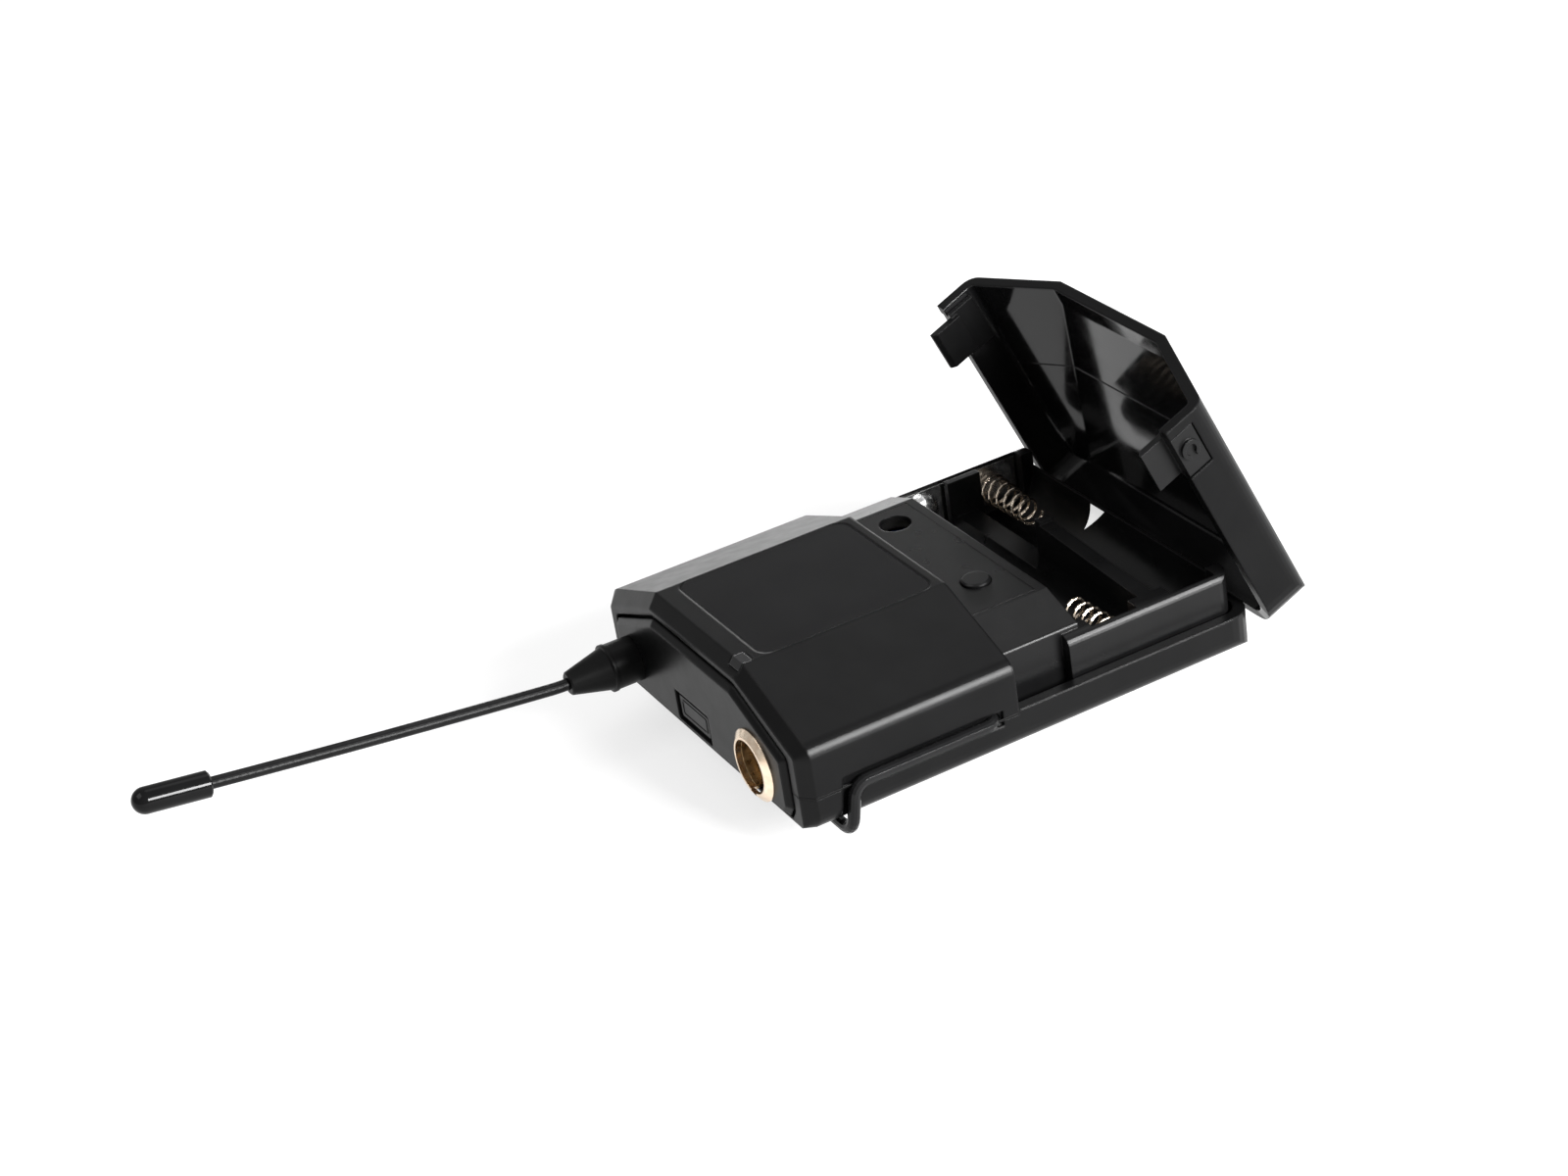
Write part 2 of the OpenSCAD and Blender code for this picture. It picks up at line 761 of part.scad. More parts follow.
// Three contact pins on their circle, each with its solder tail
module socket_pin_set(tail) {
    for (a = [90, 210, 330])
        translate([socket_x + 1.9 * cos(a), panel_y + socket_l + tail, socket_z + 1.9 * sin(a)])
            rotate([90, 0, 0]) cylinder(d = 1, h = socket_l + tail - pins_in);
}

module socket_pins() {
    color(plated_gold) socket_pin_set(1.8);
}

// ---------------------------------------------------------------- antenna

module antenna_boot() {
    r = boot_d / 2;
    color(rubber_black) difference() {
        turned_y(antenna_x, panel_back, antenna_z, [
            [0, 0], [stem_d / 2, 0], [stem_d / 2, panel_t], [r, panel_t],
            [r, panel_t + boot_l - 0.5], [r + 0.15, panel_t + boot_l - 0.5],
            [r + 0.15, panel_t + boot_l], [r - 0.25, panel_t + boot_l + 0.15],
            [taper_d / 2 + 0.1, panel_t + boot_l + taper_l - 0.2],
            [taper_d / 2 - 0.15, panel_t + boot_l + taper_l], [0, panel_t + boot_l + taper_l]
        ]);
        rod_y(antenna_x, panel_back + 1, antenna_z, whip_d / 2 + boot_bore_gap, 40);
        rod_y(antenna_x, panel_back + 1, antenna_z, 1.8, panel_t + boot_l + 0.4);
    }
}

module antenna_ferrule() {
    color(nickel) difference() {
        union() {
            rod_y(antenna_x, panel_back + 2.4, antenna_z, 1.75, panel_t + boot_l + 1.6);
            rod_y(antenna_x, panel_back + 1.6, antenna_z, 3.6, 1.55);
        }
        rod_y(antenna_x, whip_y + whip_in + 0.05, antenna_z, whip_d / 2 + 0.02, 20);
    }
}

// Point on a bend of radius r in the YZ plane that leaves [y, z] at angle a0 above -Y
function bend_point(y, z, a0, a, r) =
    [0, y - r * (sin(a0 + a) - sin(a0)), z + r * (cos(a0) - cos(a0 + a))];
// Route of the whip: straight in the boot, a short bend, a long gentle sweep
whip_mid = bend_point(0, 0, 0, whip_lean, bend_r);
whip_end = bend_point(whip_mid[1], whip_mid[2], whip_lean, tip_bend, sweep_r);
whip_route = concat(
    [[0, whip_in, 0], [0, whip_in / 2, 0]],
    [for (k = [0 : 3]) bend_point(0, 0, 0, whip_lean * k / 3, bend_r)],
    [for (k = [1 : 8]) bend_point(whip_mid[1], whip_mid[2], whip_lean, tip_bend * k / 8, sweep_r)]
);
module antenna_whip() {
    color(rubber_black) translate([antenna_x, whip_y, antenna_z])
        skin([for (k = [0 : len(whip_route) - 1]) ring(whip_route, k, [1, 0, 0], whip_d / 2, 24)], 24);
}

module antenna_tip() {
    r = tip_d / 2;
    color(trim_black)
        translate([antenna_x, whip_y + whip_end[1], antenna_z + whip_end[2]])
            rotate([90 - whip_lean - tip_bend, 0, 0]) {
                translate([0, 0, 0.02]) cylinder(r1 = r - 0.3, r2 = r, h = 0.28);
                translate([0, 0, 0.3]) cylinder(r = r, h = tip_l - r - 0.3);
                translate([0, 0, tip_l - r]) intersection() {
                    sphere(r = r);
                    translate([-r, -r, 0]) cube([2 * r, 2 * r, r]);
                }
            }
}

// ---------------------------------------------------- deck and battery bay

// Room for one cell: a cradle below its axis and straight walls above it
module cell_room(y) {
    rod_x(-bay_x, bay_x, y, cell_z, cradle_r);
    box([-bay_x, y - cradle_r, cell_z], [bay_x, y + cradle_r, deck_z + 1]);
}
// Pockets in the side walls for the contacts of one cell
module contact_pocket(y, side) {
    rotate([0, 0, side > 0 ? 0 : 180])
        box([bay_x - eps, side * y - pocket_w / 2, cell_z - pocket_w / 2],
            [pocket_x, side * y + pocket_w / 2, deck_z + 1]);
}

module battery_tub() {
    bay_end = hinge_y - 0.35;
    color(case_black) difference() {
        union() {
            along_y(rounded(deck_outline), step_y - 3, cell1_y - cradle_r + eps);
            intersection() {
                along_y(rounded(tub_outline), notch_y, bay_end);
                along_z(rounded(inset(plan, wall + tub_gap)), 0, body_h);
            }
            // Rib between the cells, highest at its free end
            along_y(rib_side, cell1_y + cradle_r, cell2_y - cradle_r);
        }
        // Hollow under the deck for the board
        along_y(hollow_outline, step_y - 4, cell1_y - cradle_r - 1.2);
        cell_room(cell1_y);
        cell_room(cell2_y);
        // The cells' rooms join past the rib's free end
        box([-bay_x, cell1_y, cell_z - 2.5], [rib_end_x, cell2_y, body_h]);
        contact_pocket(cell1_y, 1);
        contact_pocket(cell2_y, 1);
        contact_pocket(cell1_y, -1);
        contact_pocket(cell2_y, -1);
        // The far contacts share one plate, so their pockets join
        box([-pocket_x, cell1_y, cell_z - pocket_w / 2], [-bay_x - 1.2, cell2_y, tub_top + 1]);
        // Seat of the control plate
        box([-plate_w / 2 - 0.1, step_y - 0.2, deck_z - plate_t],
            [plate_w / 2 + 0.1, step_y + plate_l + 0.1, deck_z + 1]);
        translate([gain_x, gain_y, 0]) cylinder(d = gain_hole_d + 0.6, h = body_h);
        translate([set_x, set_y, 0]) cylinder(d = set_d + 0.5, h = body_h);
        // Lower end wall behind the second cell
        box([-bay_x, cell2_y, wall + tub_end_h], [bay_x, y_back, body_h]);
        // Room for the hinge barrel
        box([-slot_x - 0.3, slot_y - 0.3, 0], [slot_x + 0.3, y_back, hinge_z + barrel_d / 2 + 0.4]);
        both_sides()
            box([slot_x, slot_y - 1, 0], [slot_x + 3.4, y_back, hinge_z + 1.9]);
    }
}

module control_plate() {
    color(case_black) difference() {
        translate([0, step_y + plate_l / 2, 0])
            along_z(rounded(plate(plate_w, plate_l, 0.5)), deck_z - plate_t, deck_z);
        translate([gain_x, gain_y, 0]) cylinder(d = gain_hole_d, h = body_h);
        translate([set_x, set_y, 0]) cylinder(d = set_d + 0.3, h = body_h);
    }
}

module set_button() {
    z0 = board_top + switch_h + set_travel + 0.3;
    color(trim_black) translate([set_x, set_y, 0]) {
        translate([0, 0, z0]) cylinder(d = set_d + 1.6, h = 0.5);
        translate([0, 0, z0]) cylinder(d = set_d, h = deck_z + set_proud - 0.25 - z0);
        translate([0, 0, deck_z + set_proud - 0.25]) cylinder(d1 = set_d, d2 = set_d - 0.5, h = 0.25);
    }
}

module set_switch() {
    color([0.2, 0.2, 0.2]) translate([set_x, set_y, board_top]) {
        translate([-3, -3, 0]) cube([6, 6, switch_h]);
        cylinder(d = 2.6, h = switch_h + 0.2);
    }
}

module gain_trimmer() {
    color([0.1, 0.25, 0.55]) translate([gain_x, gain_y, board_top]) difference() {
        translate([-3, -3, 0]) cube([6, 6, trimmer_h]);
        translate([0, 0, trimmer_h - 1.2]) cylinder(d = 4.1, h = 2);
    }
}

module gain_rotor() {
    color([0.9, 0.88, 0.82]) translate([gain_x, gain_y, board_top + trimmer_h - 1.2]) difference() {
        cylinder(d = 4, h = 1.4);
        translate([-1.6, -0.3, 0.8]) cube([3.2, 0.6, 1]);
    }
}

// --------------------------------------------------------------- contacts

// Coil of one cell spring along X from its plate to its tip
function spring_point(t) =
    let (
        a = 360 * spring_turns * t,
        r = (spring_base_d + (spring_tip_d - spring_base_d) * t - spring_wire) / 2,
        lay = t < 0.12 ? t * 0.35 : 0.042 + (t - 0.12) * 1.0886
    )
        [spring_wire / 2 + (spring_l - spring_wire) * lay, r * cos(a), r * sin(a)];
module cell_spring() {
    steps = ceil(spring_turns * 14);
    p = [for (k = [0 : steps]) spring_point(k / steps)];
    skin([for (k = [0 : steps]) ring(p, k, [1, 0, 0], spring_wire / 2, 6)], 6);
}
module cell_spring_near() {
    color(spring_brass)
        translate([pocket_x - contact_t - 0.02, cell1_y, cell_z]) rotate([0, 0, 180]) cell_spring();
}
module cell_spring_far() {
    color(spring_brass)
        translate([-pocket_x + contact_t + 0.02, spring2_y, cell_z - spring_low]) cell_spring();
}
// Sheet contact standing in a side pocket, from y0 to y1
module contact_sheet(y0, y1) {
    box([pocket_x - contact_t, y0, cell_z - pocket_w / 2 + 0.1], [pocket_x, y1, tub_top - 0.6]);
}
// Pressed dome that meets a cell's positive end
module contact_dome(y) {
    translate([pocket_x - contact_t + eps, y, cell_z]) rotate([0, -90, 0])
        rotate_extrude() polygon([
            [0, 0], [dome_d / 2, 0], [dome_d * 0.49, dome_h * 0.35], [dome_d * 0.43, dome_h * 0.65],
            [dome_d * 0.31, dome_h * 0.87], [dome_d * 0.16, dome_h * 0.97], [0, dome_h]
        ]);
}
module contact_minus() {
    color(nickel) contact_sheet(cell1_y - 3.6, cell1_y + 3.6);
}
module contact_plus() {
    color(nickel) {
        contact_sheet(cell2_y - 3.6, cell2_y + 3.6);
        contact_dome(cell2_y);
    }
}
module contact_link() {
    color(nickel) mirror([1, 0, 0]) {
        contact_sheet(cell1_y - 3.6, cell2_y + 3.6);
        contact_dome(cell1_y);
    }
}

// ------------------------------------------------------------------- door

module battery_door() {
    color(case_black) at_door() difference() {
        union() {
            difference() {
                intersection() {
                    case_form(0, door_y0, y_back + 1);
                    box([-hw - 1, door_y0, door_z0], [hw + 1, y_back + 1, body_h + 1]);
                }
                case_form(door_wall, door_y0 - 5, y_back);
            }
            // Hinge leaf and barrel
            box([-leaf_w / 2, hinge_y, hinge_z], [leaf_w / 2, hinge_y + leaf_t, door_z0 + 2]);
            rod_x(-leaf_w / 2, leaf_w / 2, hinge_y, hinge_z, barrel_d / 2);
        }
        rod_x(-leaf_w / 2 - 1, -leaf_w / 2 + pin_l, hinge_y, hinge_z, pin_d / 2 + pin_play);
        rod_x(leaf_w / 2 - pin_l, leaf_w / 2 + 1, hinge_y, hinge_z, pin_d / 2 + pin_play);
        // Openings for the thumb latches
        both_sides()
            box([hw - door_wall - 1, latch_y - latch_play, door_z0 - 1],
                [hw + 1, latch_y + latch_l + latch_play, door_z0 + latch_h + latch_play]);
    }
}

module hinge_pins() {
    color(nickel) both_sides()
        rod_x(leaf_w / 2 - pin_l + 0.3, slot_x + 2.8, hinge_y, hinge_z, pin_d / 2);
}

// One thumb latch, on the +X side of the closed door
module thumb_latch() {
    x1 = hw - latch_recess;
    block_x0 = hw - wall - 0.3 - hook_t;
    z_top = door_z0 + latch_h;
    bump_y = latch_y + latch_l * 0.45;
    bump_z = door_z0 + latch_h / 2;
    difference() {
        union() {
            // Outer plate in the door's opening
            box([hw - door_wall - 0.3, latch_y, door_z0 + 0.1], [x1, latch_y + latch_l, z_top]);
            // Flange that keeps the plate inside the door
            box([hw - door_wall - 0.9, latch_y - 0.6, door_z0 + 0.1],
                [hw - door_wall - 0.2, latch_y + latch_l + 0.6, z_top + 0.6]);
            // Hook block that drops into the notch
            box([block_x0, latch_y + 0.1, door_z0 - hook_l],
                [hw - wall - 0.3, latch_y + latch_l - 0.1, door_z0 + hook_t]);
            // Thumb bump: a raised ring open on one side
            difference() {
                rod_x(x1 - eps, x1 + bump_h, bump_y, bump_z, bump_r);
                rod_x(x1, x1 + bump_h * 2, bump_y, bump_z, bump_r * 0.57);
                box([x1, bump_y + bump_r * 0.2, bump_z - bump_r / 3],
                    [x1 + bump_h * 2, latch_y + latch_l, bump_z + bump_r / 3]);
            }
        }
        // Lead-in at the foot of the hook block
        translate([block_x0, 0, door_z0 - hook_l]) rotate([0, 45, 0])
            box([-0.5, latch_y - 1, -0.5], [0.5, latch_y + latch_l + 1, 0.5]);
    }
}
module latch_near() {
    color(trim_black) at_door() thumb_latch();
}
module latch_far() {
    color(trim_black) at_door() mirror([1, 0, 0]) thumb_latch();
}

// -------------------------------------------------------------- belt clip

// Corners of the wire's hooked end on the +X side: [x, y, z, r]
clip_arm_x = clip_w / 2;
hook_corners = [
    [clip_x - 4, clip_hole_y, clip_z, 0],
    [clip_x, clip_hole_y, clip_z, 1.8],
    [clip_x, clip_bend_y, clip_z, 2.4],
    [clip_x, clip_run_y, clip_run_z, 2.2],
    [clip_split_x, clip_run_y, clip_run_z, 0]
];
// Corners of the wire's loop behind the case, from the +X end to the -X end
loop_side = [
    [clip_split_x, clip_run_y, clip_run_z, 0],
    [clip_arm_x, clip_run_y, clip_run_z, 4],
    [clip_arm_x, clip_run_y + 13, clip_low, 14],
    [clip_arm_x, loop_end_y - 10, clip_low, 14],
    [clip_arm_x, loop_end_y, -clip_r - 1.4, 5]
];
function mirrored(p) = [for (k = [len(p) - 1 : -1 : 0]) [-p[k][0], p[k][1], p[k][2], p[k][3]]];
loop_corners = concat(loop_side, mirrored(loop_side));

function corner3(q, i) = [q[i][0], q[i][1], q[i][2]];
// Points of the arc that rounds corner i of a route
function route_arc(q, i) =
    let (
        c = corner3(q, i),
        u = unit(corner3(q, i - 1) - c),
        v = unit(corner3(q, i + 1) - c),
        h = acos(u * v) / 2,
        m = c + unit(u + v) * q[i][3] / sin(h),
        a = unit(c + u * q[i][3] / tan(h) - m),
        b = unit(c + v * q[i][3] / tan(h) - m),
        turn = 180 - 2 * h,
        n = max(2, ceil(turn / 15))
    )
        [for (k = [0 : n]) m + q[i][3] * (sin(turn * (n - k) / n) * a + sin(turn * k / n) * b) / sin(turn)];
function route(q) = concat(
    [corner3(q, 0)],
    [for (i = [1 : len(q) - 2]) each route_arc(q, i)],
    [corner3(q, len(q) - 1)]
);
// Side vector carried along a route without a twist
function carried(p, k, s) =
    let (t = heading(p, k), a = unit(s - (s * t) * t))
        k == len(p) - 1 ? [a] : concat([a], carried(p, k + 1, a));
// Round wire along a route
module wire(q) {
    p = route(q);
    s = carried(p, 0, [0, 0, 1]);
    skin([for (k = [0 : len(p) - 1]) ring(p, k, s[k], clip_r, clip_sides)], clip_sides);
}
module clip_hooks() {
    color(trim_black) {
        wire(hook_corners);
        wire(mirrored(hook_corners));
    }
}
module clip_loop() {
    color(trim_black) wire(loop_corners);
}

// ------------------------------------------------------- board and screws

module circuit_board() {
    color(board_green) difference() {
        box([-board_x, board_y0, board_z], [board_x, board_y1, board_top]);
        bosses(boss_d + 0.6, 0, body_h);
        // Cut-outs round the socket and the antenna's ferrule
        box([socket_x - barrel_r - 1, board_y0 - 1, 0], [board_x + 1, panel_y + socket_l + 2, body_h]);
        box([-board_x - 1, board_y0 - 1, 0], [antenna_x + 4, panel_back + 3, body_h]);
    }
}

module shield_can() {
    color(nickel) translate([-can_w * 0.75, screw_ys[0] + 4, board_top]) cube([can_w, can_l, can_h]);
}

// Component body standing on the board
module chip(x, y, size) {
    translate([x, y, board_top]) cube(size);
}
module board_parts() {
    color([0.1, 0.1, 0.1]) {
        chip(chip_x, step_y - 19, [chip_w, chip_w, chip_h]);
        chip(chip_x, step_y - 9, [coil_w, coil_l, coil_h]);
        chip(-chip_x - chip_w, step_y - 4, [coil_w, coil_l, coil_h]);
        for (k = [0, 1])
            translate([board_x - can_d * 1.25, step_y - 11 - k * can_d * 1.25, board_top])
                cylinder(d = can_d, h = can_d * 1.25);
    }
}

module case_screws() {
    color(nickel) for (y = screw_ys, s = [-1, 1])
        translate([s * screw_x, y, 0]) difference() {
            union() {
                translate([0, 0, screw_sink]) cylinder(d = screw_head_d, h = screw_head_h);
                translate([0, 0, screw_sink])
                    cylinder(d = screw_d - 0.35, h = screw_head_h + screw_l);
            }
            for (a = [0, 90]) rotate([0, 0, a])
                translate([-screw_cross_w / 2, -screw_cross_l / 2, 0])
                    cube([screw_cross_w, screw_cross_l, screw_sink + screw_head_h / 2]);
        }
}

rear_shell();
front_shell();
battery_tub();
end_panel();
label_plate();
control_plate();
status_window();
status_led();
power_button();
power_switch();
set_button();
set_switch();
gain_trimmer();
gain_rotor();
socket_ring();
socket_barrel();
socket_insulator();
socket_pins();
antenna_boot();
antenna_ferrule();
antenna_whip();
antenna_tip();
cell_spring_near();
cell_spring_far();
contact_link();
contact_minus();
contact_plus();
battery_door();
latch_near();
latch_far();
hinge_pins();
clip_hooks();
clip_loop();
circuit_board();
shield_can();
board_parts();
case_screws();
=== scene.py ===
"""Wireless bodypack transmitter: finishes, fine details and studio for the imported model.

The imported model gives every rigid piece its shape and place. This script dresses each
piece, adds the fine moulded and printed details that ride on them, and sets up a plain
studio with a camera.
"""
from __future__ import annotations

import json
import logging
import math
from dataclasses import dataclass, field
from enum import Enum

import bmesh
import bpy
from mathutils import Matrix, Vector

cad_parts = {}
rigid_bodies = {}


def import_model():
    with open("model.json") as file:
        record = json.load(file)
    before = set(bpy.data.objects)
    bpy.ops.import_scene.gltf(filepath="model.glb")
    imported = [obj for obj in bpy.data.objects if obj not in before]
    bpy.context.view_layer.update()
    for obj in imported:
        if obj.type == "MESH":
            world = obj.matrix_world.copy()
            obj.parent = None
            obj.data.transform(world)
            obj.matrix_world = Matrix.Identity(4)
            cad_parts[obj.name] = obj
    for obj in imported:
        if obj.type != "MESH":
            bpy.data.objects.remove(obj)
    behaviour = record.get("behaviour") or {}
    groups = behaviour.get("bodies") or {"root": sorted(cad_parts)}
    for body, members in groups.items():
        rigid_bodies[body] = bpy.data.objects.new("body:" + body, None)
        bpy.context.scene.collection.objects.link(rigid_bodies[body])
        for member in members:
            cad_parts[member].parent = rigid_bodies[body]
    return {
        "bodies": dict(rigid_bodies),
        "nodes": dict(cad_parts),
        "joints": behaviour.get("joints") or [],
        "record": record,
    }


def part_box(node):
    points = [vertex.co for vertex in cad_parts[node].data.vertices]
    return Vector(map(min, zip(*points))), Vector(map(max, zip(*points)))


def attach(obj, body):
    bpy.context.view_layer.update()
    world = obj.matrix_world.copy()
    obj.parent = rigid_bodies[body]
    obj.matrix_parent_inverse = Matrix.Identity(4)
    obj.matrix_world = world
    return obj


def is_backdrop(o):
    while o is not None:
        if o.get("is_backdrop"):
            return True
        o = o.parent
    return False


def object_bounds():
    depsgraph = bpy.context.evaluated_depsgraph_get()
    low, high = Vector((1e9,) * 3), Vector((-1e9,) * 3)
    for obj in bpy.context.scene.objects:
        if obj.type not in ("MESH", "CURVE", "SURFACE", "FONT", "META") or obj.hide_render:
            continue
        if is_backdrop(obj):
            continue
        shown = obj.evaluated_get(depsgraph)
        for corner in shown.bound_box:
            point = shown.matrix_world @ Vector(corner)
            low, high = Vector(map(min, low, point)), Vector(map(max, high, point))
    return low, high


log = logging.getLogger("bodypack")
MM = 0.001

Colour = tuple[float, float, float]
Point = tuple[float, float, float]

# Signs of a rectangle's corners, in turn
CORNERS = ((-1, -1), (1, -1), (1, 1), (-1, 1))
# Angles beyond which an edge shows: between faces of a fine piece, and where it is rounded
PIECE_SMOOTH_DEG = 35.0
EDGE_DEG = 38.0


# ------------------------------------------------------------------ node helpers


class NodeTree:
    """A material's node tree with short calls that add and join nodes."""

    def __init__(self, name: str) -> None:
        """Makes a material with an empty principled shader.

        Args:
            name: name of the material.
        """
        self.material = bpy.data.materials.new(name)
        self.material.use_nodes = True
        self.nodes = self.material.node_tree.nodes
        self.links = self.material.node_tree.links
        self.shader = self.nodes["Principled BSDF"]
        self.place = self.add("ShaderNodeTexCoord").outputs["Object"]

    def add(self, kind: str, **settings: object) -> bpy.types.Node:
        """Adds a node.

        Args:
            kind: Blender's type name of the node.
            **settings: attributes set on the node.

        Returns:
            The new node.
        """
        node = self.nodes.new(kind)
        for key, value in settings.items():
            setattr(node, key, value)
        return node

    def join(self, source: bpy.types.NodeSocket, target: bpy.types.NodeSocket) -> None:
        """Links an output to an input."""
        self.links.new(source, target)

    def noise(self, size_mm: float, detail: float = 2.0, rough: float = 0.5,
              stretch: Point = (1.0, 1.0, 1.0)) -> bpy.types.NodeSocket:
        """Adds a noise whose features are about size_mm across.

        Args:
            size_mm: size of a feature in millimetres.
            detail: octaves of finer detail.
            rough: strength of the finer octaves.
            stretch: scale of the noise along each axis.

        Returns:
            The noise's factor.
        """
        mapping = self.add("ShaderNodeMapping")
        mapping.inputs["Scale"].default_value = stretch
        self.join(self.place, mapping.inputs["Vector"])
        noise = self.add("ShaderNodeTexNoise")
        noise.inputs["Scale"].default_value = 1000.0 / size_mm
        noise.inputs["Detail"].default_value = detail
        noise.inputs["Roughness"].default_value = rough
        self.join(mapping.outputs["Vector"], noise.inputs["Vector"])
        return noise.outputs["Fac"]

    def span(self, value: bpy.types.NodeSocket, low: float, high: float,
             start: float = 0.3, end: float = 0.7) -> bpy.types.NodeSocket:
        """Maps a factor's range from start..end to low..high.

        Args:
            value: the factor.
            low: result at start.
            high: result at end.
            start: factor that gives low.
            end: factor that gives high.

        Returns:
            The mapped value.
        """
        node = self.add("ShaderNodeMapRange")
        node.inputs["From Min"].default_value = start
        node.inputs["From Max"].default_value = end
        node.inputs["To Min"].default_value = low
        node.inputs["To Max"].default_value = high
        self.join(value, node.inputs["Value"])
        return node.outputs["Result"]

    def tint(self, factor: bpy.types.NodeSocket, dark: Colour, light: Colour,
             start: float = 0.35, end: float = 0.65) -> bpy.types.NodeSocket:
        """Maps a factor to a colour between dark and light.

        Args:
            factor: the factor.
            dark: colour at start.
            light: colour at end.
            start: factor that gives dark.
            end: factor that gives light.

        Returns:
            The colour.
        """
        ramp = self.add("ShaderNodeValToRGB")
        ramp.color_ramp.elements[0].position = start
        ramp.color_ramp.elements[0].color = (*dark, 1.0)
        ramp.color_ramp.elements[1].position = end
        ramp.color_ramp.elements[1].color = (*light, 1.0)
        self.join(factor, ramp.inputs["Fac"])
        return ramp.outputs["Color"]

    def bump(self, height: bpy.types.NodeSocket, depth_mm: float, strength: float = 1.0,
             normal: bpy.types.NodeSocket | None = None) -> bpy.types.NodeSocket:
        """Adds a bump of a given depth.

        Args:
            height: height factor from 0 to 1.
            depth_mm: depth of the relief in millimetres.
            strength: strength of the bump.
            normal: normal of a coarser bump below this one.

        Returns:
            The bumped normal.
        """
        node = self.add("ShaderNodeBump")
        node.inputs["Distance"].default_value = depth_mm * MM
        node.inputs["Strength"].default_value = strength
        self.join(height, node.inputs["Height"])
        if normal is not None:
            self.join(normal, node.inputs["Normal"])
        return node.outputs["Normal"]

    def rounded(self, radius_mm: float) -> bpy.types.NodeSocket:
        """Gives the surface a normal as if its edges were rounded.

        Args:
            radius_mm: radius of the rounding in millimetres.

        Returns:
            The rounded normal.
        """
        node = self.add("ShaderNodeBevel", samples=4)
        node.inputs["Radius"].default_value = radius_mm * MM
        return node.outputs["Normal"]

    def put(self, **sockets: object) -> None:
        """Sets or links the shader's sockets.

        Args:
            **sockets: a value or a node's output for each socket, with the spaces of the
                socket's name written as underscores.
        """
        for key, value in sockets.items():
            socket = self.shader.inputs[key.replace("_", " ")]
            if isinstance(value, bpy.types.NodeSocket):
                self.join(value, socket)
            else:
                socket.default_value = value


# ------------------------------------------------------------------ finishes


@dataclass(frozen=True)
class Moulded:
    """Injection-moulded plastic with a fine spark-eroded grain."""

    name: str
    dark: Colour
    light: Colour
    rough: tuple[float, float]
    grain_mm: float
    grain_depth_mm: float
    level: float = 0.5
    soft_mm: float = 0.2

    def make(self) -> bpy.types.Material:
        """Builds the material.

        Returns:
            The material.
        """
        tree = NodeTree(self.name)
        cloud = tree.noise(size_mm=9.0, detail=3.0)
        sweep = tree.noise(size_mm=3.0)
        grain = tree.noise(self.grain_mm)
        form = tree.rounded(self.soft_mm)
        flow = tree.bump(sweep, depth_mm=0.002, strength=0.5, normal=form)
        tree.put(
            Base_Color=tree.tint(cloud, self.dark, self.light),
            Roughness=tree.span(sweep, *self.rough),
            Normal=tree.bump(grain, self.grain_depth_mm, normal=flow),
            Specular_IOR_Level=self.level,
        )
        return tree.material


@dataclass(frozen=True)
class Polished:
    """Smooth plastic film, lacquer or moulding with faint waviness and fine scratches, and an
    optional painted glow.
    """

    name: str
    dark: Colour
    light: Colour
    rough: tuple[float, float]
    wave_depth_mm: float = 0.006
    level: float = 0.5
    soft_mm: float = 0.15
    # Emission on a surface that is no lamp: painted light that brightens it
    painted_glow: float = 0.0

    def make(self) -> bpy.types.Material:
        """Builds the material.

        Returns:
            The material.
        """
        tree = NodeTree(self.name)
        cloud = tree.noise(size_mm=7.0)
        wave = tree.noise(size_mm=5.0, detail=1.0)
        rub = tree.noise(size_mm=0.9, detail=4.0, rough=0.6, stretch=(1.0, 0.12, 1.0))
        form = tree.rounded(self.soft_mm)
        swell = tree.bump(wave, self.wave_depth_mm, normal=form)
        tree.put(
            Base_Color=tree.tint(cloud, self.dark, self.light),
            Roughness=tree.span(rub, *self.rough),
            Normal=tree.bump(rub, depth_mm=0.00004, strength=0.5, normal=swell),
            Specular_IOR_Level=self.level,
            # The emission here is painted light, not a lamp
            Emission_Color=(1.0, 1.0, 1.0, 1.0),
            Emission_Strength=self.painted_glow,
        )
        return tree.material


@dataclass(frozen=True)
class Plated:
    """Bright or satin plating over metal, with faint tarnish and turning marks."""

    name: str
    dark: Colour
    light: Colour
    rough: tuple[float, float]
    marks_mm: float = 0.25
    marks_depth_mm: float = 0.0012
    stretch: Point = (1.0, 1.0, 1.0)
    soft_mm: float = 0.12

    def make(self) -> bpy.types.Material:
        """Builds the material.

        Returns:
            The material.
        """
        tree = NodeTree(self.name)
        cloud = tree.noise(size_mm=1.6, detail=3.0)
        tarnish = tree.noise(size_mm=0.8, detail=3.0)
        marks = tree.noise(self.marks_mm, detail=3.0, rough=0.6, stretch=self.stretch)
        tree.put(
            Base_Color=tree.tint(cloud, self.dark, self.light),
            Metallic=1.0,
            Roughness=tree.span(tarnish, *self.rough),
            Normal=tree.bump(marks, self.marks_depth_mm, normal=tree.rounded(self.soft_mm)),
        )
        return tree.material


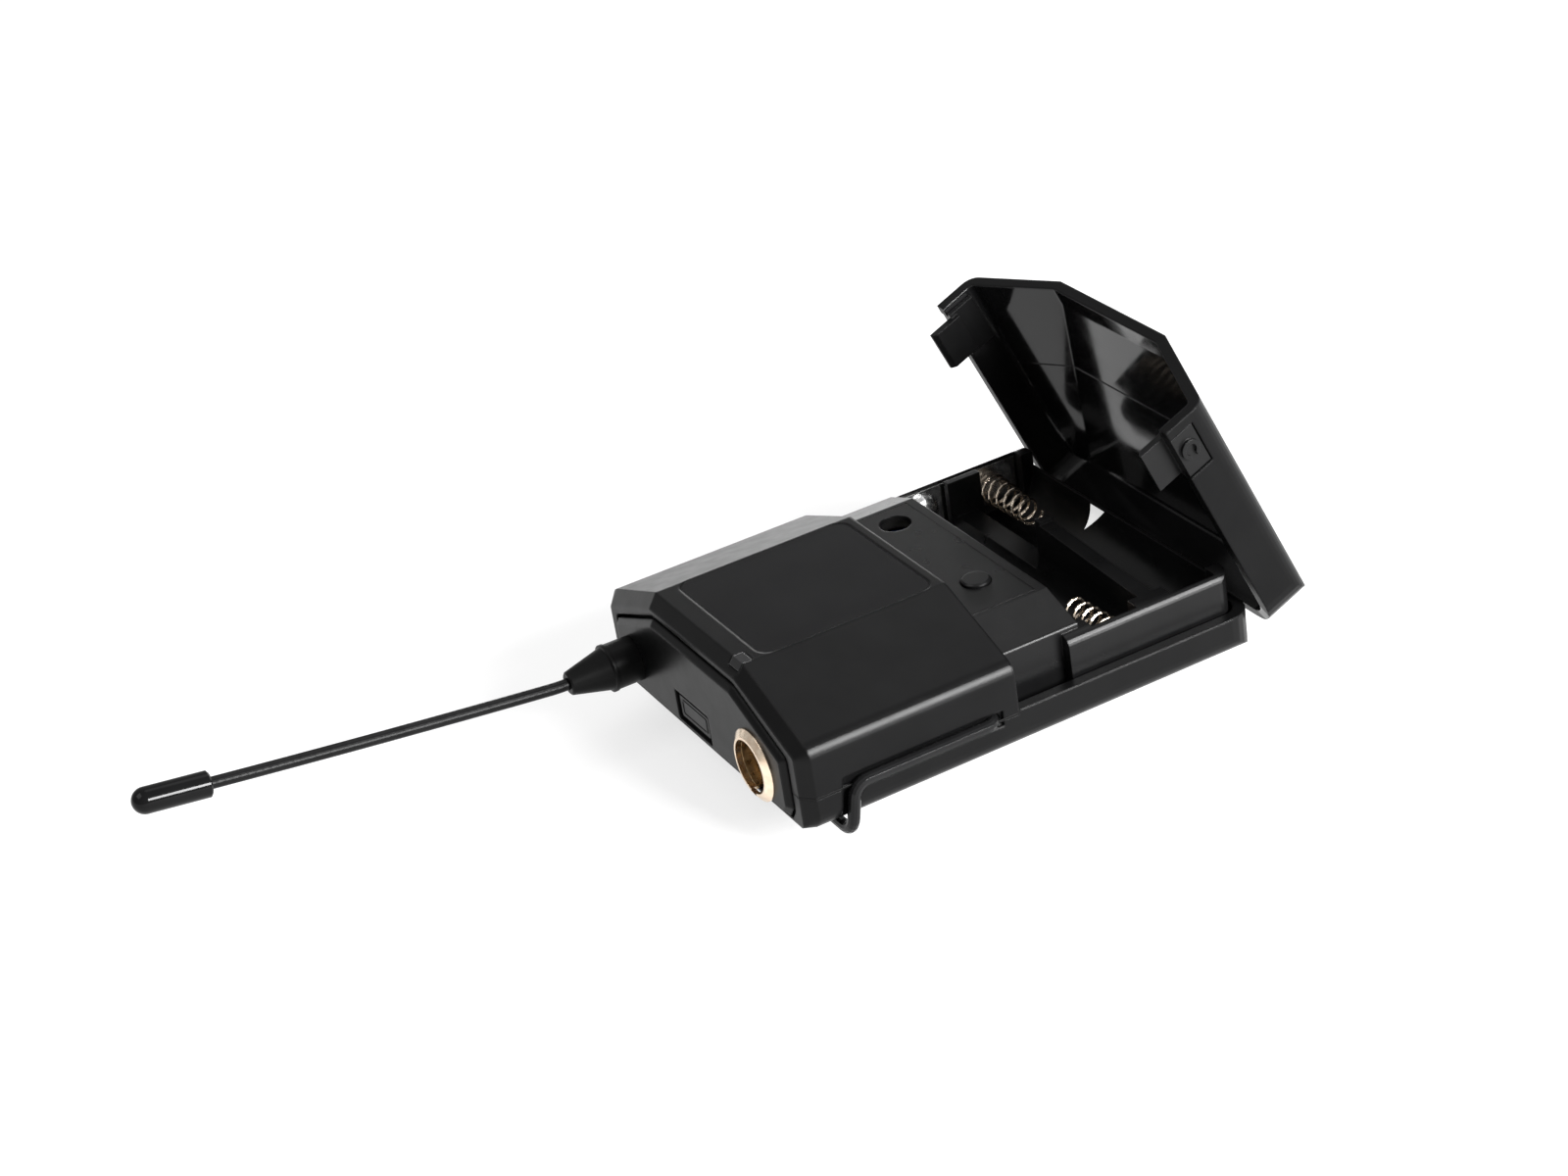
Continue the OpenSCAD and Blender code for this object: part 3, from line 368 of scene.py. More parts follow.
@dataclass(frozen=True)
class Wound:
    """Sleeve drawn over a wound spring core: the turns show through as fine rings."""

    name: str
    colour: Colour
    pitch_mm: float
    depth_mm: float
    rough: tuple[float, float]
    level: float = 0.10

    def make(self) -> bpy.types.Material:
        """Builds the material.

        Returns:
            The material.
        """
        tree = NodeTree(self.name)
        wave = tree.add("ShaderNodeTexWave", wave_type="BANDS", bands_direction="Y")
        # The wave texture's bands repeat every pi / 10 divided by its scale
        wave.inputs["Scale"].default_value = math.pi / 10.0 / (self.pitch_mm * MM)
        wave.inputs["Distortion"].default_value = 0.25
        wave.inputs["Detail"].default_value = 1.0
        tree.join(tree.place, wave.inputs["Vector"])
        dark = tuple(0.7 * c for c in self.colour)
        tree.put(
            Base_Color=tree.tint(tree.noise(size_mm=3.0), dark, self.colour),
            Roughness=tree.span(tree.noise(size_mm=0.5, detail=3.0), *self.rough),
            Normal=tree.bump(wave.outputs["Fac"], self.depth_mm, strength=0.9),
            Specular_IOR_Level=self.level,
        )
        return tree.material


@dataclass(frozen=True)
class Laminate:
    """Solder mask over copper tracks on a board."""

    name: str
    mask: Colour
    track: Colour
    bricks_per_m: float = 260.0
    track_w: float = 0.035
    relief_mm: float = 0.03
    rough: tuple[float, float] = (0.28, 0.42)

    def make(self) -> bpy.types.Material:
        """Builds the material.

        Returns:
            The material.
        """
        tree = NodeTree(self.name)
        brick = tree.add("ShaderNodeTexBrick", offset=0.37, squash=0.6)
        brick.inputs["Scale"].default_value = self.bricks_per_m
        brick.inputs["Mortar Size"].default_value = self.track_w
        brick.inputs["Mortar Smooth"].default_value = 0.2
        brick.inputs["Color1"].default_value = (*self.mask, 1.0)
        brick.inputs["Color2"].default_value = (*(0.8 * c for c in self.mask), 1.0)
        brick.inputs["Mortar"].default_value = (*self.track, 1.0)
        tree.join(tree.place, brick.inputs["Vector"])
        tree.put(
            Base_Color=brick.outputs["Color"],
            Roughness=tree.span(tree.noise(size_mm=0.7, detail=3.0), *self.rough),
            Normal=tree.bump(brick.outputs["Fac"], self.relief_mm, strength=0.7),
        )
        return tree.material


def greys(low: float, high: float, blue: float = 0.0001) -> dict[str, Colour]:
    """A finish's dark and light shades of one slightly cool grey.

    Args:
        low: brightness of the dark shade.
        high: brightness of the light shade.
        blue: how much bluer than grey both shades are.

    Returns:
        The shades, under their names in a finish.
    """
    return {"dark": (low, low, low + blue), "light": (high, high, high + blue)}


class Finish(Enum):
    """Every finish on the object."""

    CASE = Moulded("case_plastic", **greys(0.0019, 0.0026), rough=(0.28, 0.33),
                   grain_mm=0.2, grain_depth_mm=0.0016, level=0.118, soft_mm=0.55)
    DECK = Moulded("deck_plastic", **greys(0.0020, 0.0028), rough=(0.27, 0.33),
                   grain_mm=0.25, grain_depth_mm=0.0010, level=0.19, soft_mm=0.2)
    DOOR = Moulded("door_plastic", **greys(0.0020, 0.0028), rough=(0.30, 0.36),
                   grain_mm=0.2, grain_depth_mm=0.0018, level=0.085, soft_mm=0.5)
    GLOSS = Moulded("door_lining", **greys(0.0032, 0.0048, 0.0002), rough=(0.07, 0.11),
                    grain_mm=0.3, grain_depth_mm=0.0008, level=0.35, soft_mm=0.5)
    TRIM = Moulded("trim_plastic", **greys(0.0026, 0.0036), rough=(0.28, 0.34),
                   grain_mm=0.16, grain_depth_mm=0.0022, level=0.16)
    BOOT = Moulded("boot_rubber", **greys(0.0018, 0.0030, 0.0), rough=(0.36, 0.44),
                   grain_mm=0.3, grain_depth_mm=0.005, level=0.10)
    INSULATOR = Moulded("insulator_plastic", dark=(0.020, 0.017, 0.014),
                        light=(0.030, 0.026, 0.022), rough=(0.4, 0.5),
                        grain_mm=0.3, grain_depth_mm=0.004)
    CHIP = Moulded("component_plastic", **greys(0.018, 0.026, 0.0), rough=(0.42, 0.55),
                   grain_mm=0.2, grain_depth_mm=0.006)
    BLUE = Moulded("trimmer_plastic", dark=(0.004, 0.010, 0.034), light=(0.005, 0.013, 0.045),
                   rough=(0.3, 0.4), grain_mm=0.3, grain_depth_mm=0.003)
    IVORY = Moulded("rotor_plastic", dark=(0.62, 0.60, 0.52), light=(0.72, 0.70, 0.62),
                    rough=(0.4, 0.5), grain_mm=0.3, grain_depth_mm=0.004)
    FILM = Polished("label_film", **greys(0.0030, 0.0040, 0.0002), rough=(0.24, 0.26),
                    wave_depth_mm=0.0005, level=0.085, soft_mm=0.3)
    # The white print glows faintly: painted light that brightens it as if lamp-lit
    PRINT = Polished("white_print", **greys(0.88, 0.92, -0.01), rough=(0.4, 0.5),
                     wave_depth_mm=0.001, soft_mm=0.02, painted_glow=0.4)
    SMOKED = Polished("smoked_plastic", **greys(0.010, 0.014, 0.0005), rough=(0.14, 0.20),
                      wave_depth_mm=0.002, level=0.3)
    LAMP = Polished("lamp_body", dark=(0.70, 0.70, 0.66), light=(0.80, 0.80, 0.75),
                    rough=(0.2, 0.3))
    TIP = Polished("tip_plastic", **greys(0.0025, 0.0035), rough=(0.10, 0.14),
                   wave_depth_mm=0.001, level=0.13, soft_mm=0.05)
    WIRE = Polished("clip_lacquer", **greys(0.004, 0.006, 0.0002), rough=(0.08, 0.12),
                    wave_depth_mm=0.001, level=0.15, soft_mm=0.05)
    GOLD = Plated("champagne_plating", dark=(0.80, 0.62, 0.46), light=(0.90, 0.76, 0.60),
                  rough=(0.16, 0.26))
    BRASS = Plated("socket_brass", dark=(0.42, 0.29, 0.14), light=(0.60, 0.45, 0.26),
                   rough=(0.24, 0.36))
    SPRING = Plated("spring_wire", dark=(0.62, 0.52, 0.42), light=(0.80, 0.70, 0.58),
                    rough=(0.16, 0.26), marks_mm=0.2, marks_depth_mm=0.0015)
    NICKEL = Plated("nickel_plating", dark=(0.66, 0.66, 0.66), light=(0.80, 0.80, 0.79),
                    rough=(0.16, 0.26), marks_mm=0.3, marks_depth_mm=0.0005,
                    stretch=(1.0, 0.15, 1.0))
    WHIP = Wound("whip_sleeve", colour=(0.006, 0.006, 0.0062), pitch_mm=1.1,
                 depth_mm=0.012, rough=(0.20, 0.26))
    BOARD = Laminate("board_laminate", mask=(0.01, 0.085, 0.035), track=(0.03, 0.17, 0.07))


class Finishes:
    """Makes each finish's material once."""

    def __init__(self) -> None:
        """Starts with no materials."""
        self.made: dict[Finish, bpy.types.Material] = {}

    def of(self, finish: Finish) -> bpy.types.Material:
        """Makes a finish's material the first time that it is asked for.

        Args:
            finish: the finish.

        Returns:
            Its material.
        """
        if finish not in self.made:
            self.made[finish] = finish.value.make()
        return self.made[finish]


# ------------------------------------------------------------------ dressing


@dataclass(frozen=True)
class Dress:
    """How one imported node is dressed: its finish and its smoothing angle."""

    finish: Finish
    smooth_deg: float = 32.0


@dataclass
class Wardrobe:
    """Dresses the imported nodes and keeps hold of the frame."""

    frame: dict
    finishes: Finishes = field(default_factory=Finishes)

    def dress(self, node: str, dress: Dress) -> None:
        """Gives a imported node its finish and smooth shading.

        Args:
            node: name of the node.
            dress: what it wears.
        """
        obj = self.frame["nodes"][node]
        obj.data.materials.clear()
        obj.data.materials.append(self.finishes.of(dress.finish))
        for polygon in obj.data.polygons:
            polygon.use_smooth = True
        obj.data.set_sharp_from_angle(angle=math.radians(dress.smooth_deg))
        log.info("%s dressed in %s", node, dress.finish.value.name)


def soften(obj: bpy.types.Object, width_mm: float, segments: int = 2) -> None:
    """Rounds an object's sharp edges.

    Args:
        obj: the object.
        width_mm: width of the rounding in millimetres.
        segments: facets across the rounding.
    """
    bevel = obj.modifiers.new("edge", "BEVEL")
    bevel.width = width_mm * MM
    bevel.segments = segments
    bevel.limit_method = "ANGLE"
    bevel.angle_limit = math.radians(EDGE_DEG)
    bevel.use_clamp_overlap = True
    bevel.harden_normals = True
    bevel.miter_outer = "MITER_ARC"


def round_box(width: float, height: float, radius: float,
              steps: int = 6) -> list[tuple[float, float]]:
    """Outline of a centred rectangle with round corners.

    Args:
        width: size along the first axis.
        height: size along the second axis.
        radius: radius of the corners.
        steps: facets at each corner.

    Returns:
        The outline's corners.
    """
    points = []
    for k, (a, b) in enumerate(((1, 1), (-1, 1), (-1, -1), (1, -1))):
        for n in range(steps + 1):
            turn = math.pi / 2.0 * (k + n / steps)
            points.append((a * (width / 2.0 - radius) + radius * math.cos(turn),
                           b * (height / 2.0 - radius) + radius * math.sin(turn)))
    return points


class Maker:
    """Builds one fine piece in millimetres and hangs it on a body."""

    def __init__(self, name: str) -> None:
        """Starts an empty piece.

        Args:
            name: name of the piece.
        """
        self.name = name
        self.mesh = bmesh.new()

    def grid(self, rows: list[list[Point]]) -> None:
        """Adds a sheet of quads over rows of points.

        Args:
            rows: rows of points, each of the same length.
        """
        made = [[self.mesh.verts.new(Vector(p) * MM) for p in row] for row in rows]
        for low, high in zip(made, made[1:]):
            for k in range(len(low) - 1):
                self.mesh.faces.new((low[k], low[k + 1], high[k + 1], high[k]))

    def prism(self, outline: list[Point], push: Point) -> None:
        """Adds a solid swept straight from a flat outline.

        Args:
            outline: corners of the outline.
            push: the sweep from the outline to its far copy.
        """
        low = [self.mesh.verts.new(Vector(p) * MM) for p in outline]
        high = [self.mesh.verts.new((Vector(p) + Vector(push)) * MM) for p in outline]
        self.mesh.faces.new(list(reversed(low)))
        self.mesh.faces.new(high)
        for k in range(len(low)):
            n = (k + 1) % len(low)
            self.mesh.faces.new((low[k], low[n], high[n], high[k]))

    def frame(self, outer: list[Point], inner: list[Point], push: Point) -> None:
        """Adds a flat frame between two outlines with the same number of corners.

        Args:
            outer: corners of the outer outline.
            inner: corners of the inner outline.
            push: the frame's thickness and its direction.
        """
        step = Vector(push)
        loops = [[self.mesh.verts.new((Vector(p) + step * lift) * MM) for p in line]
                 for line, lift in ((outer, 0), (outer, 1), (inner, 1), (inner, 0))]
        for k in range(4):
            low, high = loops[k], loops[(k + 1) % 4]
            for m in range(len(low)):
                n = (m + 1) % len(low)
                self.mesh.faces.new((low[m], low[n], high[n], high[m]))

    def bead(self, path: list[Point], across: Point, rise: Point,
             shape: list[tuple[float, float]]) -> None:
        """Adds a bar with one cross-section along a path.

        Args:
            path: points of the path.
            across: direction of the section's first number.
            rise: direction of the section's second number.
            shape: corners of the section in millimetres.
        """
        a, b = Vector(across), Vector(rise)
        rings = [[self.mesh.verts.new((Vector(p) + a * u + b * v) * MM) for u, v in shape]
                 for p in path]
        for low, high in zip(rings, rings[1:]):
            for k in range(len(shape)):
                n = (k + 1) % len(shape)
                self.mesh.faces.new((low[k], low[n], high[n], high[k]))
        self.mesh.faces.new(list(reversed(rings[0])))
        self.mesh.faces.new(rings[-1])

    def hang(self, material: bpy.types.Material, body: str,
             edge_mm: float = 0.0) -> None:
        """Turns the mesh into an object that rides on a body.

        Args:
            material: finish of the piece.
            body: the body that it rides on.
            edge_mm: rounding of its edges.
        """
        bmesh.ops.recalc_face_normals(self.mesh, faces=self.mesh.faces)
        data = bpy.data.meshes.new(self.name)
        self.mesh.to_mesh(data)
        self.mesh.free()
        data.materials.append(material)
        for polygon in data.polygons:
            polygon.use_smooth = True
        data.set_sharp_from_angle(angle=math.radians(PIECE_SMOOTH_DEG))
        piece = bpy.data.objects.new(self.name, data)
        bpy.context.scene.collection.objects.link(piece)
        if edge_mm:
            soften(piece, edge_mm)
        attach(piece, body)
        log.info("%s hung on %s", self.name, body)


def lay_joint(wardrobe: Wardrobe, node: str, name: str, radius: float, width: float,
              rise: float = 0.01) -> None:
    """Lays a fine dark joint round a flat node of the case, at its top face.

    Args:
        wardrobe: gives the finish.
        node: the node that the joint runs round.
        name: name of the joint.
        radius: radius of the node's corners in millimetres.
        width: width of the joint in millimetres.
        rise: how far the joint stands proud, and how far it is sunk.
    """
    low, high = (Vector(c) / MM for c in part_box(node))
    middle, size = (low + high) / 2.0, high - low
    outer, inner = ([(middle.x + u, middle.y + v, high.z - rise) for u, v in round_box(
        size.x + grow, size.y + grow, radius + grow / 2.0)] for grow in (width, -width))
    maker = Maker(name)
    maker.frame(outer, inner, (0.0, 0.0, 2.0 * rise))
    maker.hang(wardrobe.finishes.of(Finish.BOOT), "case")


# ------------------------------------------------------------------ sub-assemblies


@dataclass
class SubAssembly:
    """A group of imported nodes, with the fine pieces that ride on them."""

    wardrobe: Wardrobe

    def outfits(self) -> dict[str, Dress]:
        """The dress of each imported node."""
        return {}

    def detail(self) -> None:
        """Adds the fine pieces; most groups have none."""

    def build(self) -> None:
        """Dresses the nodes, then adds the fine pieces."""
        for node, dress in self.outfits().items():
            self.wardrobe.dress(node, dress)
        self.detail()


@dataclass
class CaseShells(SubAssembly):
    """Rear and front shells with the label film, the lamp window and the screws.

    The parting line runs at seam_z up to seam_end_y, round the bevelled front corners.
    """

    seam_z: float = 5.4
    seam_w: float = 0.34
    seam_sunk: float = 0.1
    seam_proud: float = 0.015
    seam_end_y: float = -3.3
    bevel_run: float = 1.6
    bevel_in: float = 2.0
    label_r: float = 2.4
    label_joint_w: float = 0.14

    def outfits(self) -> dict[str, Dress]:
        """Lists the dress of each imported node.

        Returns:
            The dress of each node, by its name.
        """
        return {
            "rear_shell": Dress(Finish.CASE),
            "front_shell": Dress(Finish.CASE),
            "label_plate": Dress(Finish.FILM),
            "status_window": Dress(Finish.SMOKED),
            "status_led": Dress(Finish.LAMP),
            "case_screws": Dress(Finish.NICKEL),
        }

    def seam(self) -> None:
        """Lays the dark parting line between the shells along both sides."""
        low, high = (Vector(c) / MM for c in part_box("front_shell"))
        half, sunk, proud = self.seam_w / 2.0, -self.seam_sunk, self.seam_proud
        section = [(-half, sunk), (half, sunk), (half, proud), (-half, proud)]
        for side, name in ((1.0, "seam_near"), (-1.0, "seam_far")):
            path = [(side * (high.x - self.bevel_in), low.y, self.seam_z),
                    (side * high.x, low.y + self.bevel_run, self.seam_z),
                    (side * high.x, self.seam_end_y, self.seam_z)]
            maker = Maker(name)
            maker.bead(path, (0.0, 0.0, 1.0), (side, 0.0, 0.0), section)
            maker.hang(self.wardrobe.finishes.of(Finish.BOOT), "case")

    def detail(self) -> None:
        """Adds the parting lines and the joint round the label."""
        self.seam()
        lay_joint(self.wardrobe, "label_plate", "label_joint", self.label_r,
                  self.label_joint_w)


@dataclass
class EndPanel(SubAssembly):
    """End panel with the power button in its sunk frame."""

    cap_w: float = 7.5
    cap_h: float = 2.5
    cap_r: float = 0.3
    rim_w: float = 0.2
    rim_sunk: float = 0.05
    rim_proud: float = 0.08
    rim_edge: float = 0.03

    def outfits(self) -> dict[str, Dress]:
        """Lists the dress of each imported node.

        Returns:
            The dress of each node, by its name.
        """
        return {
            "end_panel": Dress(Finish.CASE),
            "power_button": Dress(Finish.TRIM),
            "power_switch": Dress(Finish.CHIP),
        }

    def detail(self) -> None:
        """Raises the fine frame on the button's cap."""
        low, high = (Vector(c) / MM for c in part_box("power_button"))
        middle = (low + high) / 2.0
        outer, inner = ([(middle.x + u, low.y + self.rim_sunk, middle.z + v)
                         for u, v in round_box(self.cap_w - cut, self.cap_h - cut, self.cap_r)]
                        for cut in (0.0, 2.0 * self.rim_w))
        maker = Maker("power_cap_frame")
        maker.frame(outer, inner, (0.0, -self.rim_sunk - self.rim_proud, 0.0))
        maker.hang(self.wardrobe.finishes.of(Finish.TRIM), "power_button",
                   self.rim_edge)


@dataclass
class MicSocket(SubAssembly):
    """Plated ring and barrel round the contact pins in their insulator."""

    def outfits(self) -> dict[str, Dress]:
        """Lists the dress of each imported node.

        Returns:
            The dress of each node, by its name.
        """
        return {
            "socket_ring": Dress(Finish.GOLD),
            "socket_barrel": Dress(Finish.BRASS),
            "socket_insulator": Dress(Finish.INSULATOR),
            "socket_pins": Dress(Finish.GOLD),
        }


@dataclass
class Antenna(SubAssembly):
    """Rubber boot, wound whip and cap."""

    def outfits(self) -> dict[str, Dress]:
        """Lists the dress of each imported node.

        Returns:
            The dress of each node, by its name.
        """
        return {
            "antenna_boot": Dress(Finish.BOOT),
            "antenna_ferrule": Dress(Finish.NICKEL),
            "antenna_whip": Dress(Finish.WHIP),
            "antenna_tip": Dress(Finish.TIP, 40.0),
        }


@dataclass
class ControlDeck(SubAssembly):
    """Control plate with the set button and the gain trimmer under it."""

    plate_r: float = 0.4
    joint_w: float = 0.12

    def outfits(self) -> dict[str, Dress]:
        """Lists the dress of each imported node.

        Returns:
            The dress of each node, by its name.
        """
        return {
            "control_plate": Dress(Finish.DECK),
            "set_button": Dress(Finish.TRIM),
            "set_switch": Dress(Finish.CHIP),
            "gain_trimmer": Dress(Finish.BLUE),
            "gain_rotor": Dress(Finish.IVORY),
        }

    def detail(self) -> None:
        """Lays the dark joint round the control plate."""
        lay_joint(self.wardrobe, "control_plate", "plate_joint", self.plate_r, self.joint_w)


@dataclass
class CellBay(SubAssembly):
    """Battery tub with its springs and contacts, moulded polarity signs and a printed arrow."""

    cell_ys: tuple[float, float] = (15.5, 28.9)
    cell_z: float = 8.3
    cradle_r: float = 5.5
    plus_x: float = 19.0
    minus_x: float = 8.55
    sign_l: float = 2.6
    sign_w: float = 0.7
    sign_sunk: float = 0.1
    sign_h: float = 0.3
    sign_step: float = 0.01
    sign_edge: float = 0.06
    arrow_low: tuple[float, float] = (-8.6, 4.9)
    arrow_high: tuple[float, float] = (-7.9, 9.2)
    arrow_tip_x: float = -4.2
    arrow_hollow: float = 0.3
    arrow_proud: float = 0.04

    def outfits(self) -> dict[str, Dress]:
        """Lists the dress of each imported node.

        Returns:
            The dress of each node, by its name.
        """
        return {
            "battery_tub": Dress(Finish.DECK),
            "cell_spring_near": Dress(Finish.SPRING, 70.0),
            "cell_spring_far": Dress(Finish.SPRING, 70.0),
            "contact_link": Dress(Finish.NICKEL),
            "contact_minus": Dress(Finish.NICKEL),
            "contact_plus": Dress(Finish.NICKEL),
        }

    def wall_y(self, z: float) -> float:
        """Finds the far side of the second cradle at a height.

        Args:
            z: the height.

        Returns:
            The place of the wall along Y.
        """
        drop = max(0.0, self.cell_z - z)
        return self.cell_ys[1] + math.sqrt(self.cradle_r ** 2 - drop ** 2)

    def arrow(self, rows: int = 12, columns: int = 4) -> None:
        """Prints the small white arrow on the far side of the second cradle.

        Args:
            rows: strips that follow the cradle's curve.
            columns: cells along each strip.
        """
        (low_x, low_z), (high_x, high_z) = self.arrow_low, self.arrow_high
        sheet = []
        for k in range(rows + 1):
            t = k / rows
            z = low_z + (high_z - low_z) * t
            start = low_x + (high_x - low_x) * t - self.arrow_hollow * t * (1.0 - t)
            end = low_x + (self.arrow_tip_x - low_x) * t
            y = self.wall_y(z) - self.arrow_proud
            sheet.append([(start + (end - start) * n / columns, y, z)
                          for n in range(columns + 1)])
        maker = Maker("bay_arrow")
        maker.grid(sheet)
        maker.hang(self.wardrobe.finishes.of(Finish.PRINT), "case")

    def signs(self) -> None:
        """Raises a plus and a minus sign on the floor of each cradle."""
        maker = Maker("bay_polarity_signs")
        base = self.cell_z - self.cradle_r - self.sign_sunk
        along, thick = self.sign_l / 2.0, self.sign_w / 2.0
        for side, y in zip((-1.0, 1.0), self.cell_ys):
            bars = ((side * self.plus_x, along, thick, self.sign_h),
                    (side * self.plus_x, thick, along, self.sign_h + self.sign_step),
                    (-side * self.minus_x, along, thick, self.sign_h))
            for x, a, b, height in bars:
                maker.prism([(x + i * a, y + j * b, base) for i, j in CORNERS],
                            (0.0, 0.0, height))
        maker.hang(self.wardrobe.finishes.of(Finish.DECK), "case",
                   self.sign_edge)

    def detail(self) -> None:
        """Adds the arrow and the signs."""
        self.arrow()
        self.signs()


@dataclass
class BatteryDoor(SubAssembly):
    """Hinged door: satin outside, smooth inside, with its latches and hinge pins.

    Its sizes are those of the closed door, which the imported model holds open.
    """

    half_w: float = 30.0
    shoulder_z: float = 12.9
    crown_x: float = 13.4
    crown_z: float = 19.2
    back_y: float = 37.2
    hip_y: float = 0.4
    hip_end_z: float = 14.3
    wall: float = 1.7
    hinge: Point = (0.0, 35.2, 1.35)
    open_deg: float = 67.0
    lining_reach: float = 0.35
    line_y: float = 13.5
    line_end: float = 0.6
    line_w: float = 0.28
    line_crest_w: float = 0.1
    line_sunk: float = 0.1
    line_proud: float = 0.12

    def outfits(self) -> dict[str, Dress]:
        """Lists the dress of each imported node.

        Returns:
            The dress of each node, by its name.
        """
        return {
            "battery_door": Dress(Finish.DOOR),
            "latch_near": Dress(Finish.TRIM),
            "latch_far": Dress(Finish.TRIM),
            "hinge_pins": Dress(Finish.NICKEL),
        }

    @property
    def slope(self) -> float:
        """Fall of the roof from the crown to a side."""
        return (self.crown_z - self.shoulder_z) / (self.half_w - self.crown_x)

    @property
    def fall(self) -> float:
        """Fall of the hip from the crown to the back."""
        return (self.crown_z - self.hip_end_z) / (self.back_y - self.hip_y)

    def turned(self, point: Vector, degrees: float) -> Vector:
        """Turns a point in millimetres about the hinge line.

        Args:
            point: the point.
            degrees: the turn about +X.

        Returns:
            The turned point.
        """
        hinge = Vector(self.hinge)
        return hinge + Matrix.Rotation(math.radians(degrees), 3, "X") @ (point - hinge)

    def depth(self, point: Vector) -> float:
        """Finds how deep a point of the closed door lies below its outer faces.

        Args:
            point: the point in millimetres.

        Returns:
            Its distance from the nearest outer face.
        """
        side = self.half_w - abs(point.x)
        back = self.back_y - point.y
        roof = self.shoulder_z + side * self.slope - point.z
        hip = self.hip_end_z + back * self.fall - point.z
        return min(side, back, self.crown_z - point.z,
                   roof / math.hypot(1.0, self.slope), hip / math.hypot(1.0, self.fall))

    def line(self) -> None:
        """Lays the thin mould line across the inside of the door, under hip and roof."""
        hip_z = (self.hip_end_z + (self.back_y - self.line_y) * self.fall
                 - self.wall * math.hypot(1.0, self.fall))
        end_x = self.half_w - self.wall - self.line_end
        end_z = (self.shoulder_z + (self.half_w - end_x) * self.slope
                 - self.wall * math.hypot(1.0, self.slope))
        break_x = end_x - (hip_z - end_z) / self.slope
        closed = ((-end_x, end_z), (-break_x, hip_z), (break_x, hip_z), (end_x, end_z))
        path = [tuple(self.turned(Vector((x, self.line_y, z)), -self.open_deg))
                for x, z in closed]
        swing = Matrix.Rotation(math.radians(-self.open_deg), 3, "X")
        foot, crest = self.line_w / 2.0, self.line_crest_w / 2.0
        maker = Maker("door_mould_line")
        maker.bead(path, tuple(swing @ Vector((0.0, 1.0, 0.0))),
                   tuple(swing @ Vector((0.0, 0.0, 1.0))),
                   [(-foot, self.line_sunk), (foot, self.line_sunk),
                    (crest, -self.line_proud), (-crest, -self.line_proud)])
        maker.hang(self.wardrobe.finishes.of(Finish.GLOSS), "door")

    def detail(self) -> None:
        """Makes the inside smooth and adds the mould line."""
        door = self.wardrobe.frame["nodes"]["battery_door"]
        door.data.materials.append(self.wardrobe.finishes.of(Finish.GLOSS))
        for polygon in door.data.polygons:
            closed = self.turned(Vector(polygon.center) / MM, self.open_deg)
            if self.depth(closed) > self.wall - self.lining_reach:
                polygon.material_index = 1
        self.line()


@dataclass
class BeltClip(SubAssembly):
    """Lacquered wire clip: two hooks at the sides and the loop behind the case."""

    def outfits(self) -> dict[str, Dress]:
        """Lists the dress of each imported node.

        Returns:
            The dress of each node, by its name.
        """
        return {
            "clip_hooks": Dress(Finish.WIRE, 60.0),
            "clip_loop": Dress(Finish.WIRE, 60.0),
        }


@dataclass
class BoardStack(SubAssembly):
    """Circuit board with its shield can and parts."""

    def outfits(self) -> dict[str, Dress]:
        """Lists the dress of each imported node.

        Returns:
            The dress of each node, by its name.
        """
        return {
            "circuit_board": Dress(Finish.BOARD),
            "shield_can": Dress(Finish.NICKEL),
            "board_parts": Dress(Finish.CHIP),
        }


# ------------------------------------------------------------------ studio


@dataclass(frozen=True)
class Softbox:
    """One rectangular lamp, aimed at a point."""

    name: str
    place: Point
    size: tuple[float, float]
    power: float
    aim: Point = (0.0, 0.0, 0.0)

    def make(self) -> None:
        """Adds the lamp to the scene."""
        data = bpy.data.lights.new(self.name, "AREA")
        data.shape = "RECTANGLE"
        data.size, data.size_y = self.size
        data.energy = self.power
        lamp = bpy.data.objects.new(self.name, data)
        bpy.context.scene.collection.objects.link(lamp)
        toward = Vector(self.aim) - Vector(self.place)
        lamp.matrix_world = (Matrix.Translation(self.place)
                             @ toward.to_track_quat("-Z", "Y").to_matrix().to_4x4())


